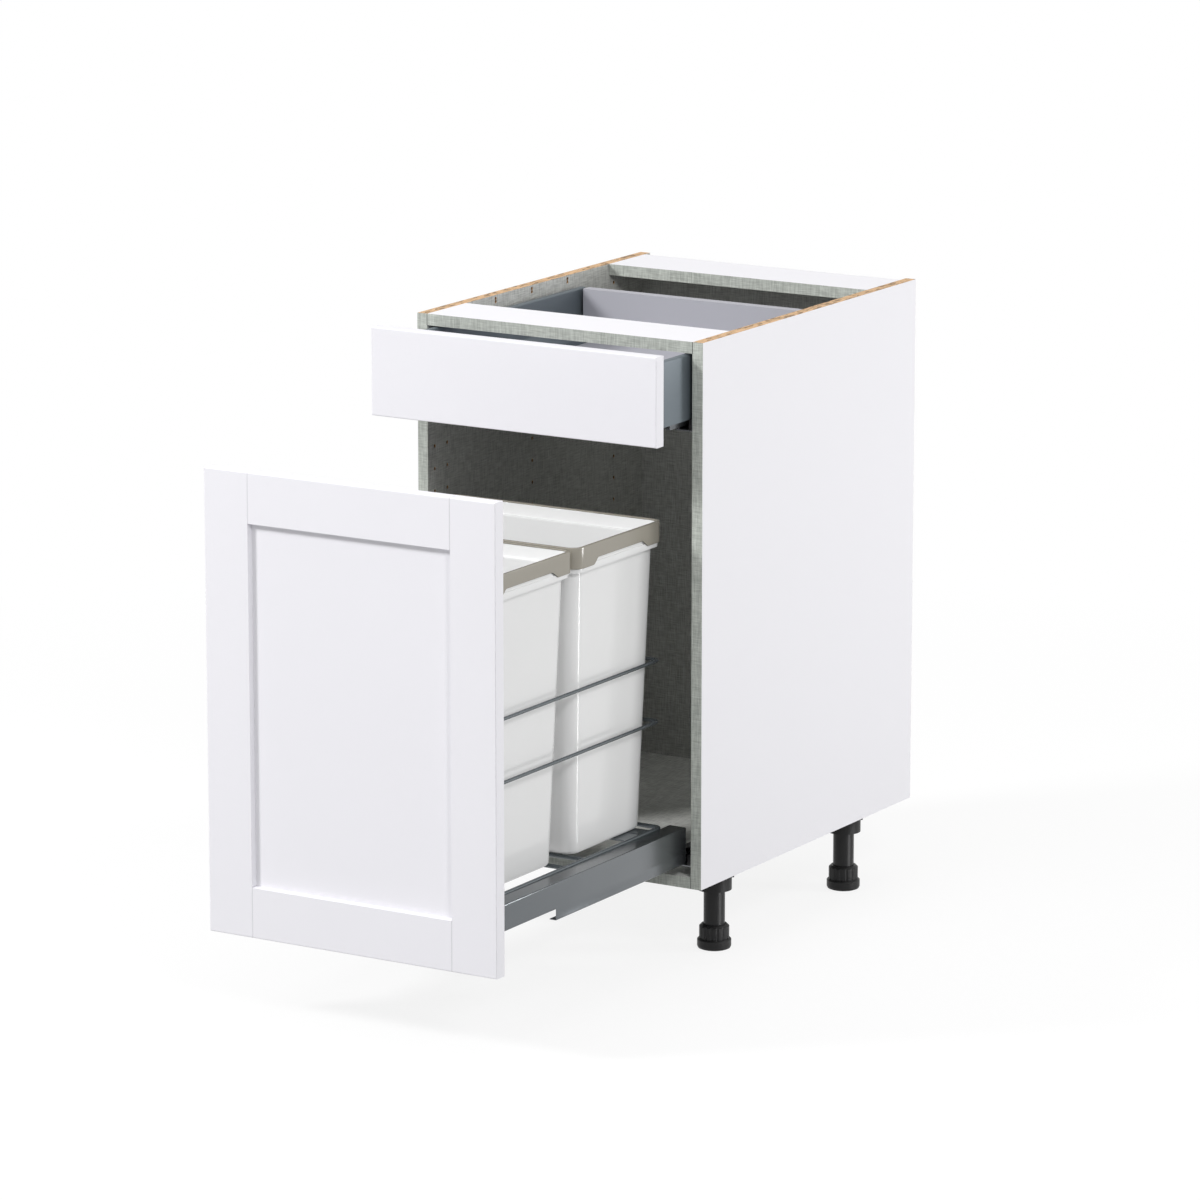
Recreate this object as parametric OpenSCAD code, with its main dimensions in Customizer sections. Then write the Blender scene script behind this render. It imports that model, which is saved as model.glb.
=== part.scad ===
// Pull-out base cabinet: a carcass on four adjustable legs, a drawer at the top and, below it, a
// shaker door fixed to a pull-out that carries two waste bins.
// Millimetres. X runs to the right, Y to the back, Z up from the floor. The cabinet is modelled in
// its open pose, and the origin is on the floor at the middle of the space that it then takes up.
// Every moving group is drawn in its closed place and shifted forwards by how far it is open.

/* [Carcass] */
// Outside width of the carcass
carcass_w = 457.2; // [420:0.1:610]
// Height of the carcass above its legs
carcass_h = 762; // [740:1:820]
// Depth of the carcass without its fronts
carcass_d = 600; // [560:1:640]
// Thickness of the sides, bottom and top rails
board_t = 16; // [15:1:19]
// Thickness of the back panel
back_t = 6; // [3:0.5:8]
// Free space behind the back panel
back_recess = 16; // [10:1:25]
// How deep the back panel sits in the sides
groove_depth = 8; // [5:1:9]
// Depth of the front and rear top rails
top_rail_d = 100; // [80:1:120]
// Thickness of the edge banding on the front edges
band_t = 0.8; // [0.4:0.1:2]
// Diameter of the wooden dowels
dowel_d = 8; // [6:1:10]
// Length of the wooden dowels
dowel_len = 30; // [25:1:35]
// Distance of the dowels from the edges of a rail
dowel_inset = 25; // [20:1:35]

/* [System holes] */
// Diameter of the holes in the sides
hole_d = 5; // [4:0.5:6]
// Depth of the holes in the sides
hole_depth = 12; // [8:0.5:13]
// Spacing of the holes in a column
hole_pitch = 32; // [25:1:36]
// Height of the lowest shelf hole above the carcass bottom
shelf_hole_z = 413; // [380:1:430]
// Shelf holes in each column
shelf_hole_rows = 6; // [3:1:6]
// Distance of the first hole column from the front edge
column_1_y = 17.5; // [12:0.5:24]
// Distance of the second hole column from the front edge
column_2_y = 49.5; // [40:0.5:60]
// Distance of the third hole column from the front edge
column_3_y = 273.5; // [240:0.5:300]
// Distance of the fourth hole column from the front edge
column_4_y = 497.5; // [480:0.5:520]
// Drop of the rear stop hole below the carcass top
top_hole_drop = 29; // [24:1:34]
// Drop of the paired worktop bracket holes below the carcass top
pair_hole_drop = 5; // [4:0.5:8]
// Offset between the two holes of a pair
pair_hole_step = 4.5; // [3:0.5:8]
// Distance of the first pair from the front edge
pair_first_y = 177.5; // [160:0.5:190]
// Spacing of the pairs
pair_pitch = 96; // [64:1:100]

/* [Legs] */
// Height of the legs
leg_h = 114.3; // [100:0.1:150]
// Distance of the leg axes from the outside of the sides
leg_side_inset = 43.6; // [40:0.1:60]
// Distance of the front leg axes from the front edge
leg_front_inset = 112; // [60:1:140]
// Distance of the rear leg axes from the rear edge
leg_rear_inset = 119; // [60:1:140]
// Diameter of the leg socket
socket_d = 48.7; // [44:0.1:56]
// Height of the leg socket
socket_h = 29.2; // [20:0.1:35]
// Side of the square socket plate
socket_plate_w = 62; // [58:1:70]
// Thickness of the socket plate
socket_plate_t = 4; // [3:0.5:6]
// Outer diameter of the leg tube
tube_d = 30; // [26:0.5:34]
// Wall of the leg tube
tube_wall = 3; // [2:0.5:4]
// Diameter of the foot disc
foot_d = 47.8; // [44:0.1:60]
// Height of the foot disc
foot_disc_h = 14.5; // [8:0.5:18]
// Diameter of the knurled collar
collar_d = 42; // [38:0.5:44]
// Height of the knurled collar
collar_h = 20.5; // [16:0.5:26]
// Free travel of the foot up into the leg
foot_travel = 10; // [5:1:12]
// Length of the foot's stem above its collar
stem_len = 28; // [20:1:30]

/* [Fronts] */
// Thickness of the door and drawer front
front_t = 19; // [16:0.5:22]
// Gap between the fronts and the carcass edge
face_gap = 2; // [1:0.5:4]
// Inset of the fronts from the carcass sides
front_side_gap = 1.6; // [1:0.1:3]
// Inset of the fronts from the carcass top and bottom
front_end_gap = 1.5; // [1:0.5:3]
// Gap between the drawer front and the door
front_gap = 3; // [2:0.5:5]
// Height of the drawer front
drawer_front_h = 123; // [118:1:130]
// Rounding of the front edges
edge_round = 1.5; // [1:0.5:5]
// Width of the flat face of the door frame
frame_w = 69; // [50:1:80]
// Draft of the inner edges of the frame, from the face down to the panel
stick_w = 1.5; // [1:0.5:10]
// Depth of the door panel below the frame's face
stick_depth = 8; // [6:0.5:9]
// Thickness of the door panel
door_panel_t = 5.6; // [4:0.1:6]
// Depth of the grooves that hold the door panel
panel_groove = 10; // [7:0.5:12]
// Open joint line between the frame pieces
joint_gap = 0.2; // [0.1:0.1:0.4]

/* [Opening] */
// How far the pull-out stands open
pullout_open = 500; // [0:1:500]
// How far the drawer stands open
drawer_open = 98; // [0:1:490]

/* [Runners] */
// Length of the runner members
slide_len = 500; // [450:1:530]
// Sheet thickness of the runner members
runner_t = 1.5; // [1:0.1:1.8]
// Distance of the runner front end from the carcass front
runner_front = 2; // [1:0.5:5]
// Height of the pull-out runner holes above the carcass bottom
pullout_hole_z = 61; // [58:1:70]
// Drop of the drawer runner holes below the carcass top
drawer_hole_drop = 93; // [91:1:95]
// Drop of the runner foot below its screw holes
runner_foot_drop = 30.5; // [26:0.5:34]
// Height of the runner's wall flange
runner_flange_h = 38; // [36:1:44]
// Distance of the track centre from the outer skin
track_inset = 14.3; // [13.5:0.1:15]
// Half width of the T shaped tracks
track_half_w = 6; // [5:0.5:6.5]
// Rise of the lower track above the runner foot
track_rise = 11; // [10.5:0.5:14]
// Room between a track and the channel round it
track_play = 1.8; // [1.5:0.1:2]
// Running clearance of the nylon glides
glide_clear = 0.3; // [0.2:0.05:0.4]
// Length of a nylon glide
glide_len = 40; // [25:1:45]
// Diameter of the runner screws
runner_screw_d = 4.8; // [4:0.1:4.9]

/* [Pull-out sides] */
// Room between a side panel and the skin of a pull-out or drawer side
side_room = 7.8; // [7:0.1:10]
// Width of the boxed lower part of a side
side_w = 26.8; // [26:0.1:30]
// Sheet thickness of the steel sides
sheet_t = 1.2; // [0.8:0.1:1.4]
// Height of the top of the pull-out side above the runner foot
pullout_side_rise = 55.8; // [45:0.1:80]
// Height of the skin's lower edge above the runner foot
skin_lift = 3.8; // [3:0.1:4.5]
// Width of the lip turned in under the skin
lip_w = 11; // [6:0.5:11]
// Length of the notch at the front of the skin
notch_len = 163; // [100:1:250]
// Height of the notch in the pull-out side
pullout_notch_h = 16.7; // [10:0.1:20]
// Height of the lower bracket screw above the pull-out side
low_screw_rise = 14; // [12:0.5:20]
// Height of the upper bracket screw above the pull-out side
high_screw_rise = 30; // [28:0.5:34]
// Height of the notch in the drawer side
drawer_notch_h = 11.5; // [8:0.1:14]

/* [Bin rack and galleries] */
// Diameter of the rack's frame wire
rack_wire_d = 6; // [5:0.5:7]
// Diameter of the gallery wires
gallery_wire_d = 5; // [4:0.5:6]
// Bend radius at the centre of the wires
wire_bend_r = 7; // [6:0.5:15]
// Room between the front of the pull-out and the rack
rack_front_room = 8; // [6:0.5:20]
// Room between the rack and the end of the pull-out
rack_rear_room = 15.5; // [14:0.5:24]
// Drop of the rack wire's centre below the top of the sides
rack_drop = 0.3; // [0:0.1:3]
// Drop of the bars' upper face below the centre of the frame wire
bar_drop = 0.7; // [0.2:0.1:2]
// Width of the flat cross bars
bar_w = 25; // [15:1:27]
// Width of the broad bar under the rear bin
broad_bar_w = 36; // [20:1:40]
// Thickness of the flat cross bars
bar_t = 2; // [1.5:0.5:3]
// Distance of the broad bar's middle from the rear of the bin's base
broad_bar_inset = 56; // [48:1:80]
// Distance of the last bar's middle from the rear of the bin's base
last_bar_inset = 22; // [16:1:24]
// Height of the tabs at the ends of the cross bars
tab_h = 18; // [16:1:20]
// Diameter of the rivets
rivet_d = 4; // [3:0.5:5]
// Height of the lower gallery above the carcass bottom
lower_gallery_z = 234; // [180:1:260]
// Height of the upper gallery above the carcass bottom
upper_gallery_z = 320; // [290:1:400]
// Inset of the gallery wire from the bin rim at the sides
gallery_side_inset = 3.5; // [2:0.1:4]
// Inset of the gallery wire from the bin rim at the rear
gallery_rear_inset = 9.2; // [8:0.1:10]
// Distance of the uprights from the middle
upright_x = 60; // [30:1:120]

/* [Bins] */
// Room between a bin's ring and the side panel
bin_side_room = 40.6; // [36:0.1:60]
// Room between the drawer's runners and the top of the bins
bin_top_room = 124; // [118:1:180]
// Room between the carcass front and the front bin
bin_front_room = 38; // [30:0.5:60]
// Room between the rear bin and the end of the pull-out
bin_rear_room = 4.2; // [2:0.1:12]
// Gap between the two bins
bin_gap = 4; // [2:0.5:10]
// Corner radius of the bins and rings
bin_corner_r = 18; // [10:1:30]
// Step from the ring's face in to the bin's wall
bin_rim_step = 8.7; // [8:0.1:12]
// Taper of each wall from the rim to the base
bin_taper = 12.9; // [5:0.1:20]
// Wall thickness of the bins
bin_wall = 2; // [1.5:0.1:3]
// Height of the bag ring
ring_h = 29; // [24:0.5:35]
// Wall thickness of the bag ring
ring_wall = 1.5; // [1:0.1:2.5]
// Width of the bag ring's top flange
ring_flange_w = 5.6; // [5:0.1:9]
// Depth of the ledge inside the bin below the top of the ring
bin_ledge_drop = 19; // [16:0.5:24]
// Thickness of the bin's floor
bin_floor_t = 2.5; // [1.5:0.1:4]
// Height of the lip that stands inside the ring
lip_in_ring = 3.5; // [2:0.1:6]
// Height of the bin's lip that shows below the ring
bin_lip_h = 6; // [4:0.5:10]
// Length of the cut-out in the ring at its lower edge
ring_cut_len = 141; // [80:1:160]
// Length of the slant at each end of the cut-out
ring_cut_slant = 14; // [9:0.5:20]
// Height of the cut-out in the ring
ring_cut_h = 9; // [5:0.5:14]
// Clearance between a loose piece and its seat
seat_clear = 0.3; // [0.2:0.1:0.5]

/* [Drawer] */
// Room between the top rail and the top of the drawer sides
drawer_top_room = 2; // [1:0.5:6]
// Width of the thin upper part of the drawer sides
drawer_wall_w = 10; // [9:0.5:13]
// Rise of the drawer's bottom board above the runner foot
drawer_floor_rise = 13.5; // [12.5:0.5:16]
// Thickness of the drawer's bottom board
drawer_floor_t = 16; // [12:1:16]
// Thickness of the drawer's back board
drawer_back_t = 16; // [12:1:19]
// Length of the drawer box from the carcass front
drawer_len = 489; // [420:1:495]
// Width of the flange that carries the bottom board
floor_flange_w = 14; // [10:1:20]
// Inset of the back board from the thin walls
drawer_back_inset = 5.3; // [3:0.1:9]

/* [Hidden] */

// Smoothness of round shapes, and of those that a hull blends
$fn = 48;
hull_fn = 32;
// Clearance round a screw or dowel in its hole, and overshoot of a cut past a face
hole_clear = 0.1;
cut = 1;

// Places in the carcass, measured from its front edge and its underside
inner_x = carcass_w / 2 - board_t;
rail_z = carcass_h - board_t;
back_y = carcass_d - back_recess - back_t;
front_y = (pullout_open + face_gap + front_t - carcass_d) / 2;

// Heights of the two runner pairs, and of the tracks in a runner, above its foot
pullout_foot_z = pullout_hole_z - runner_foot_drop;
drawer_foot_z = carcass_h - drawer_hole_drop - runner_foot_drop;
skin_x = inner_x - side_room;
box_x = skin_x - side_w;
track_x = skin_x - track_inset;
channel_half_w = track_half_w + track_play + runner_t;
channel_slot = 2.5;
channel_gap = 1.5;
lower_track_z = track_rise;
mid_top_z = channel_top(lower_track_z);
upper_track_z = mid_top_z + channel_gap + runner_t + track_play;
slide_top_z = channel_top(upper_track_z);
mid_front_gap = 10;
mid_len = slide_len - 2 * mid_front_gap;

function channel_bottom(track_z) = track_z - track_play - runner_t;
function channel_top(track_z) = track_z + 2 * runner_t + track_play;

// Runner screws, on the hole columns and one pitch in front of the fourth column
runner_screw_y = [column_2_y, column_3_y, column_4_y - hole_pitch];
runner_head_d = 9;
runner_head_t = 2;
flange_nose = 24;
flange_nose_h = 16;

// Fronts
front_w = carcass_w - 2 * front_side_gap;
drawer_front_z = carcass_h - front_end_gap - drawer_front_h;
door_z = front_end_gap;
door_h = drawer_front_z - front_gap - door_z;
stile_w = frame_w + stick_w;
groove_room = 0.2;
screw_d = 4;
screw_head_d = 7;
screw_head_t = 2.4;
screw_len = 12;
bracket_t = 1.5;
bracket_tongue_len = 40;
bracket_tongue_w = 5;
bracket_tongue_room = 2;
bracket_back_y = -face_gap + bracket_t;
side_front_y = bracket_back_y + 0.2;

// Pull-out side, rack and galleries
pullout_top_z = pullout_foot_z + pullout_side_rise;
rack_wire_z = pullout_top_z - rack_drop;
bar_top_z = rack_wire_z - bar_drop;
rack_x = box_x - 0.2;
rivet_z = bar_top_z - bar_t - 10;

// Bins
ring_half_w = inner_x - bin_side_room;
ring_top_z = drawer_foot_z - bin_top_room;
ring_top_t = 2;
bin_rear_y = slide_len - bin_rear_room;
bin_len = (bin_rear_y - bin_front_room - bin_gap) / 2;
bin_base_z = bar_top_z + seat_clear;
bin_top_z = ring_top_z - ring_top_t - seat_clear;
bin_lip_z = ring_top_z - ring_h - bin_lip_h;
bin_lip_inset = ring_wall + 0.4;
bin_collar_inset = bin_lip_inset + 1.2;
bin_base_inset = bin_rim_step + bin_taper;
rear_bin_y = bin_rear_y - bin_len / 2;
front_bin_y = bin_front_room + bin_len / 2;
rack_front_y = rack_front_room;
rack_rear_y = slide_len - rack_rear_room;

// Flat bars under the two bins, each with its place and width, and the two wires between them
flat_bars = [
    [bin_base_front(front_bin_y) + bar_w / 2, bar_w],
    [bin_base_rear(rear_bin_y) - broad_bar_inset, broad_bar_w],
    [bin_base_rear(rear_bin_y) - last_bar_inset, bar_w]
];
cross_wire_y = [bin_base_rear(front_bin_y) + 0.5, bin_base_front(rear_bin_y) + 3.5];

function bin_base_front(y) = y - bin_len / 2 + bin_base_inset;
function bin_base_rear(y) = y + bin_len / 2 - bin_base_inset;

gallery_x = ring_half_w - gallery_side_inset;
gallery_rear_y = bin_rear_y - gallery_rear_inset;
upright_y = gallery_rear_y + gallery_wire_d;
gallery_plate_w = 22;
gallery_plate_h = 40;

// Drawer
drawer_top_z = rail_z - drawer_top_room;
drawer_floor_z = drawer_foot_z + drawer_floor_rise;
drawer_board_top = drawer_floor_z + drawer_floor_t;
wall_inner_x = skin_x - drawer_wall_w;
slope_z = drawer_board_top + 8;
slope_top_z = slope_z + wall_inner_x - box_x;
holder_t = 1.5;
holder_w = 24;
back_screw_inset = 16;
back_screw_side = 12;
drawer_screw_drop = 9;
drawer_screw_spacing = 30;
drawer_tongue_drop = 31;
drawer_tongue_len = 35;
drawer_tongue_h = 14;

white = "#f4f3f7";
linen = "#b6bbb4";
steel = "#787e82";
drawer_steel = "#727c84";
bin_white = "#ededec";
taupe = "#a09a8c";
black = "#2b2b2c";
zinc = "#b9bcc0";

// Shared transforms. The carcass frame starts at its front edge and underside.
module in_carcass() { translate([0, front_y, leg_h]) children(); }
module in_pullout() { translate([0, front_y - pullout_open, leg_h]) children(); }
module in_pullout_mid() { translate([0, front_y - pullout_open / 2, leg_h]) children(); }
module in_drawer() { translate([0, front_y - drawer_open, leg_h]) children(); }
module in_drawer_mid() { translate([0, front_y - drawer_open / 2, leg_h]) children(); }

// The outline is in X and Z, and runs back from y
module along_y(y, len) {
    translate([0, y + len, 0]) rotate([90, 0, 0]) linear_extrude(len) children();
}

// Both sides of the cabinet from the right-hand one
module both_sides() {
    children();
    mirror([1, 0, 0]) children();
}

module left_side() { mirror([1, 0, 0]) children(); }

// Rectangle from its lowest to its highest corner
module span(x0, y0, x1, y1) {
    translate([x0, y0]) square([x1 - x0, y1 - y0]);
}

module rounded_rect(w, d, r) {
    square([w - 2 * r, d], center = true);
    square([w, d - 2 * r], center = true);
    for (x = [-1, 1], y = [-1, 1]) translate([x * (w / 2 - r), y * (d / 2 - r)]) circle(r);
}

// A hole or peg along X, from x towards the right
module peg_x(x, y, z, d, len) {
    translate([x, y, z]) rotate([0, 90, 0]) cylinder(d = d, h = len);
}

// A hole or peg along Y, from y towards the back
module peg_y(x, y, z, d, len) {
    translate([x, y + len, z]) rotate([90, 0, 0]) cylinder(d = d, h = len);
}

// Carcass

// Dowel places in one side: depth and height of each
dowel_places = [
    for (y = [dowel_inset, top_rail_d - dowel_inset]) [y, rail_z + board_t / 2],
    for (y = [dowel_inset, top_rail_d - dowel_inset])
        [back_y + back_t - top_rail_d + y, rail_z + board_t / 2],
    for (y = [dowel_inset, back_y / 2, back_y - dowel_inset]) [y, board_t / 2]
];
dowel_side_depth = 11;

module dowels(d, extra) {
    for (p = dowel_places)
        peg_x(inner_x + dowel_side_depth - dowel_len - extra, p[0], p[1], d, dowel_len + 2 * extra);
}

module runner_holes(foot_z, d, depth) {
    for (y = runner_screw_y) peg_x(inner_x - cut, y, foot_z + runner_foot_drop, d, depth + cut);
}

module system_holes() {
    for (y = [column_1_y, column_2_y, column_3_y, column_4_y], row = [0 : shelf_hole_rows - 1])
        peg_x(inner_x - cut, y, shelf_hole_z + row * hole_pitch, hole_d, hole_depth + cut);
    peg_x(inner_x - cut, column_4_y, carcass_h - top_hole_drop, hole_d, hole_depth + cut);
    for (i = [0 : 2], drop = [pair_hole_drop, pair_hole_drop + pair_hole_step])
        peg_x(inner_x - cut, pair_first_y + i * pair_pitch, carcass_h - drop, hole_d, hole_depth + cut);
}

// Side of 16 mm board, grooved for the back and drilled on its inner face
module side_panel() {
    color(white) difference() {
        translate([inner_x, band_t, 0]) cube([board_t, carcass_d - band_t, carcass_h]);
        translate([inner_x - cut, back_y - groove_room / 2, -cut])
            cube([groove_depth + cut, back_t + groove_room, rail_z + cut]);
        system_holes();
        dowels(dowel_d + 2 * hole_clear, hole_clear);
        runner_holes(pullout_foot_z, hole_d, hole_depth);
        runner_holes(drawer_foot_z, hole_d, hole_depth);
    }
}

module side_panel_left() { in_carcass() left_side() side_panel(); }
module side_panel_right() { in_carcass() side_panel(); }

// Bottom board between the sides, drilled for the legs from below
module bottom_panel() {
    color(linen) in_carcass() difference() {
        translate([-inner_x, band_t, 0]) cube([2 * inner_x, back_y - band_t, board_t]);
        both_sides() dowels(dowel_d + 2 * hole_clear, hole_clear);
        leg_places() leg_screw_holes();
    }
}

module back_panel() {
    w = inner_x + groove_depth - groove_room;
    color(linen) in_carcass() translate([-w, back_y, 0]) cube([2 * w, back_t, rail_z]);
}

// Flat rail between the tops of the sides
module top_rail(y) {
    difference() {
        translate([-inner_x, y + band_t, rail_z]) cube([2 * inner_x, top_rail_d - band_t, board_t]);
        both_sides() dowels(dowel_d + 2 * hole_clear, hole_clear);
    }
}

module front_top_rail() { color(white) in_carcass() top_rail(0); }
module rear_top_rail() { color(white) in_carcass() top_rail(back_y + back_t - top_rail_d); }

// Strips of banding on the front edges of the sides, bottom and rails
module edge_bands() {
    color(linen) in_carcass() {
        both_sides() translate([inner_x, 0, 0]) cube([board_t, band_t, carcass_h]);
        half = inner_x - hole_clear;
        translate([-half, 0, 0]) cube([2 * half, band_t, board_t]);
        for (y = [0, back_y + back_t - top_rail_d])
            translate([-half, y, rail_z]) cube([2 * half, band_t, board_t]);
    }
}

module carcass_dowels() { color("#d9b98a") in_carcass() both_sides() dowels(dowel_d, 0); }

// Legs, at four places under the bottom board

leg_x = carcass_w / 2 - leg_side_inset;
leg_y = [leg_front_inset, carcass_d - leg_rear_inset];
leg_screw_offset = socket_plate_w / 2 - 6.5;
leg_screw_d = 4;
leg_screw_len = 12;
socket_bore_clear = 0.1;
tube_top_z = -socket_plate_t - 1;
tube_end_z = -leg_h + foot_disc_h + foot_travel + 1;
foot_bore_clear = 0.4;

module leg_places() {
    for (x = [-leg_x, leg_x], y = leg_y) translate([x, y, 0]) children();
}

module leg_screw_holes() {
    for (x = [-1, 1], y = [-1, 1])
        translate([x * leg_screw_offset, y * leg_screw_offset, -cut])
            cylinder(d = leg_screw_d + 2 * hole_clear, h = leg_screw_len + cut + hole_clear);
}

// Moulded socket: square plate with four ribs and a round hub that grips the tube
module leg_sockets() {
    color(black) in_carcass() leg_places() difference() {
        union() {
            translate([0, 0, -socket_plate_t]) linear_extrude(socket_plate_t)
                rounded_rect(socket_plate_w, socket_plate_w, 8);
            translate([0, 0, -socket_h]) cylinder(d = socket_d, h = socket_h);
            for (a = [45 : 90 : 315]) rotate([0, 0, a]) translate([0, -1.5, -socket_h / 2])
                cube([socket_plate_w / 2 - 3, 3, socket_h / 2]);
        }
        translate([0, 0, -socket_h - cut])
            cylinder(d = tube_d + 2 * socket_bore_clear, h = socket_h + cut - socket_plate_t);
        for (x = [-1, 1], y = [-1, 1])
            translate([x * leg_screw_offset, y * leg_screw_offset, -socket_h - cut]) {
                cylinder(d = leg_screw_d + 2 * hole_clear, h = socket_h + 2 * cut);
                cylinder(d = screw_head_d + 2, h = socket_h + cut - socket_plate_t);
            }
    }
}

module leg_tubes() {
    color(black) in_carcass() leg_places() difference() {
        translate([0, 0, tube_end_z]) cylinder(d = tube_d, h = tube_top_z - tube_end_z);
        translate([0, 0, tube_end_z - cut])
            cylinder(d = tube_d - 2 * tube_wall, h = tube_top_z - tube_end_z + cut - tube_wall);
    }
}

module leg_screws() {
    color(zinc) in_carcass() leg_places() for (x = [-1, 1], y = [-1, 1])
        translate([x * leg_screw_offset, y * leg_screw_offset, 0]) {
            translate([0, 0, -socket_plate_t]) cylinder(d = leg_screw_d, h = socket_plate_t + leg_screw_len);
            translate([0, 0, -socket_plate_t - screw_head_t]) cylinder(d = screw_head_d, h = screw_head_t);
        }
}

// Foot: disc on the floor, fluted collar round the tube and a stem inside it
module foot(x, y) {
    core_d = tube_d - 2 * tube_wall - 2 * foot_bore_clear;
    flute_d = 6;
    color(black) in_carcass() translate([x, y, -leg_h]) difference() {
        union() {
            rotate_extrude() polygon([
                [0, 0], [foot_d / 2 - 4, 0], [foot_d / 2 - 1.2, 1.2], [foot_d / 2, 4],
                [foot_d / 2, foot_disc_h - 1.5], [foot_d / 2 - 1.5, foot_disc_h], [0, foot_disc_h]
            ]);
            difference() {
                rotate_extrude() polygon([
                    [0, foot_disc_h - 1], [collar_d / 2, foot_disc_h - 1],
                    [collar_d / 2, foot_disc_h + collar_h - 3],
                    [collar_d / 2 - 3, foot_disc_h + collar_h], [0, foot_disc_h + collar_h]
                ]);
                for (a = [0 : 24 : 336]) rotate([0, 0, a])
                    translate([collar_d / 2 + flute_d / 2 - 1, 0, foot_disc_h])
                        cylinder(d = flute_d, h = collar_h + cut);
            }
        }
        translate([0, 0, foot_disc_h]) difference() {
            cylinder(d = tube_d + 2 * foot_bore_clear, h = collar_h + cut);
            translate([0, 0, -cut]) cylinder(d = core_d, h = collar_h + 3 * cut);
        }
    }
    color(black) in_carcass() translate([x, y, -leg_h + foot_disc_h + collar_h - cut])
        cylinder(d = core_d, h = stem_len + cut);
}

module foot_front_left() { foot(-leg_x, leg_y[0]); }
module foot_front_right() { foot(leg_x, leg_y[0]); }
module foot_rear_left() { foot(-leg_x, leg_y[1]); }
module foot_rear_right() { foot(leg_x, leg_y[1]); }

// Runners. Each has a fixed member on the carcass, a middle member and a slide under the side.

// T shaped track whose web stands on z0
module track(z0, track_z) {
    span(track_x - runner_t / 2, z0, track_x + runner_t / 2, track_z + runner_t);
    span(track_x - track_half_w, track_z, track_x + track_half_w, track_z + runner_t);
}

// Channel, open below, that runs round a track
module channel(track_z) {
    difference() {
        span(track_x - channel_half_w, channel_bottom(track_z),
            track_x + channel_half_w, channel_top(track_z));
        span(track_x - channel_half_w + runner_t, track_z - track_play,
            track_x + channel_half_w - runner_t, channel_top(track_z) - runner_t);
        span(track_x - channel_slot, channel_bottom(track_z) - cut,
            track_x + channel_slot, track_z);
    }
}

// Fixed member: foot, lower track and a wall flange that is cut low at the front
module fixed_member(foot_z) {
    color(zinc) in_carcass() difference() {
        translate([0, 0, foot_z]) along_y(runner_front, slide_len) {
            span(track_x - track_half_w, 0, inner_x, runner_t);
            span(inner_x - runner_t, 0, inner_x, runner_flange_h);
            track(0, lower_track_z);
        }
        translate([inner_x - 2 * runner_t, runner_front - cut, foot_z + flange_nose_h])
            cube([3 * runner_t, flange_nose + cut, runner_flange_h]);
        for (y = runner_screw_y) peg_x(inner_x - 2 * runner_t, y, foot_z + runner_foot_drop,
            runner_screw_d + 2 * hole_clear, 3 * runner_t);
    }
}

module pullout_runner_left() { left_runner(pullout_foot_z); }
module pullout_runner_right() { fixed_member(pullout_foot_z); }
module drawer_runner_left() { left_runner(drawer_foot_z); }
module drawer_runner_right() { fixed_member(drawer_foot_z); }
module left_runner(foot_z) { left_side() fixed_member(foot_z); }

// Black nylon guides at the front of the fixed members
module runner_front_guides() {
    color(black) in_carcass() both_sides() for (z = [pullout_foot_z, drawer_foot_z])
        translate([skin_x + 1.2, runner_front, z + runner_t])
            cube([side_room - 1.2 - runner_t, flange_nose - 4, flange_nose_h - runner_t]);
}

module runner_screws() {
    color(zinc) in_carcass() both_sides() for (z = [pullout_foot_z, drawer_foot_z], y = runner_screw_y) {
        peg_x(inner_x - runner_t, y, z + runner_foot_drop, runner_screw_d, runner_t + hole_depth - cut);
        peg_x(inner_x - runner_t - runner_head_t, y, z + runner_foot_drop, runner_head_d, runner_head_t);
    }
}

// Middle member: channel on the lower track, with the upper track on its back
module mid_member(foot_z) {
    color(zinc) translate([0, 0, foot_z]) along_y(runner_front + mid_front_gap, mid_len) {
        channel(lower_track_z);
        track(mid_top_z - runner_t, upper_track_z);
    }
}

// Slide: channel on the upper track, fixed under the steel side
module slide_member(foot_z, rear_y) {
    color(zinc) translate([0, 0, foot_z]) along_y(runner_front, rear_y - runner_front)
        channel(upper_track_z);
}

// Nylon glide: fills a channel round a track, with its clearance on the inside or the outside
module glide(track_z, y, inner, outer) {
    half_w = track_half_w + track_play;
    along_y(y, glide_len) difference() {
        span(track_x - half_w + outer, track_z - track_play + outer,
            track_x + half_w - outer, track_z + runner_t + track_play - outer);
        span(track_x - track_half_w - inner, track_z - inner,
            track_x + track_half_w + inner, track_z + runner_t + inner);
        span(track_x - runner_t / 2 - inner, track_z - track_play - cut,
            track_x + runner_t / 2 + inner, track_z);
    }
}

// Lower glides keep to the rear half of the middle member, and upper ones to its front half
module mid_glides(foot_z) {
    rear_y = runner_front + mid_front_gap + mid_len - glide_len - 2;
    first_y = runner_front + mid_front_gap + 2;
    spread = 0.36 * slide_len;
    color("#e8e6df") both_sides() translate([0, 0, foot_z]) {
        for (y = [rear_y, rear_y - spread]) glide(lower_track_z, y, glide_clear, 0);
        for (y = [first_y, first_y + spread]) glide(upper_track_z, y, 0, glide_clear);
    }
}

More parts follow.
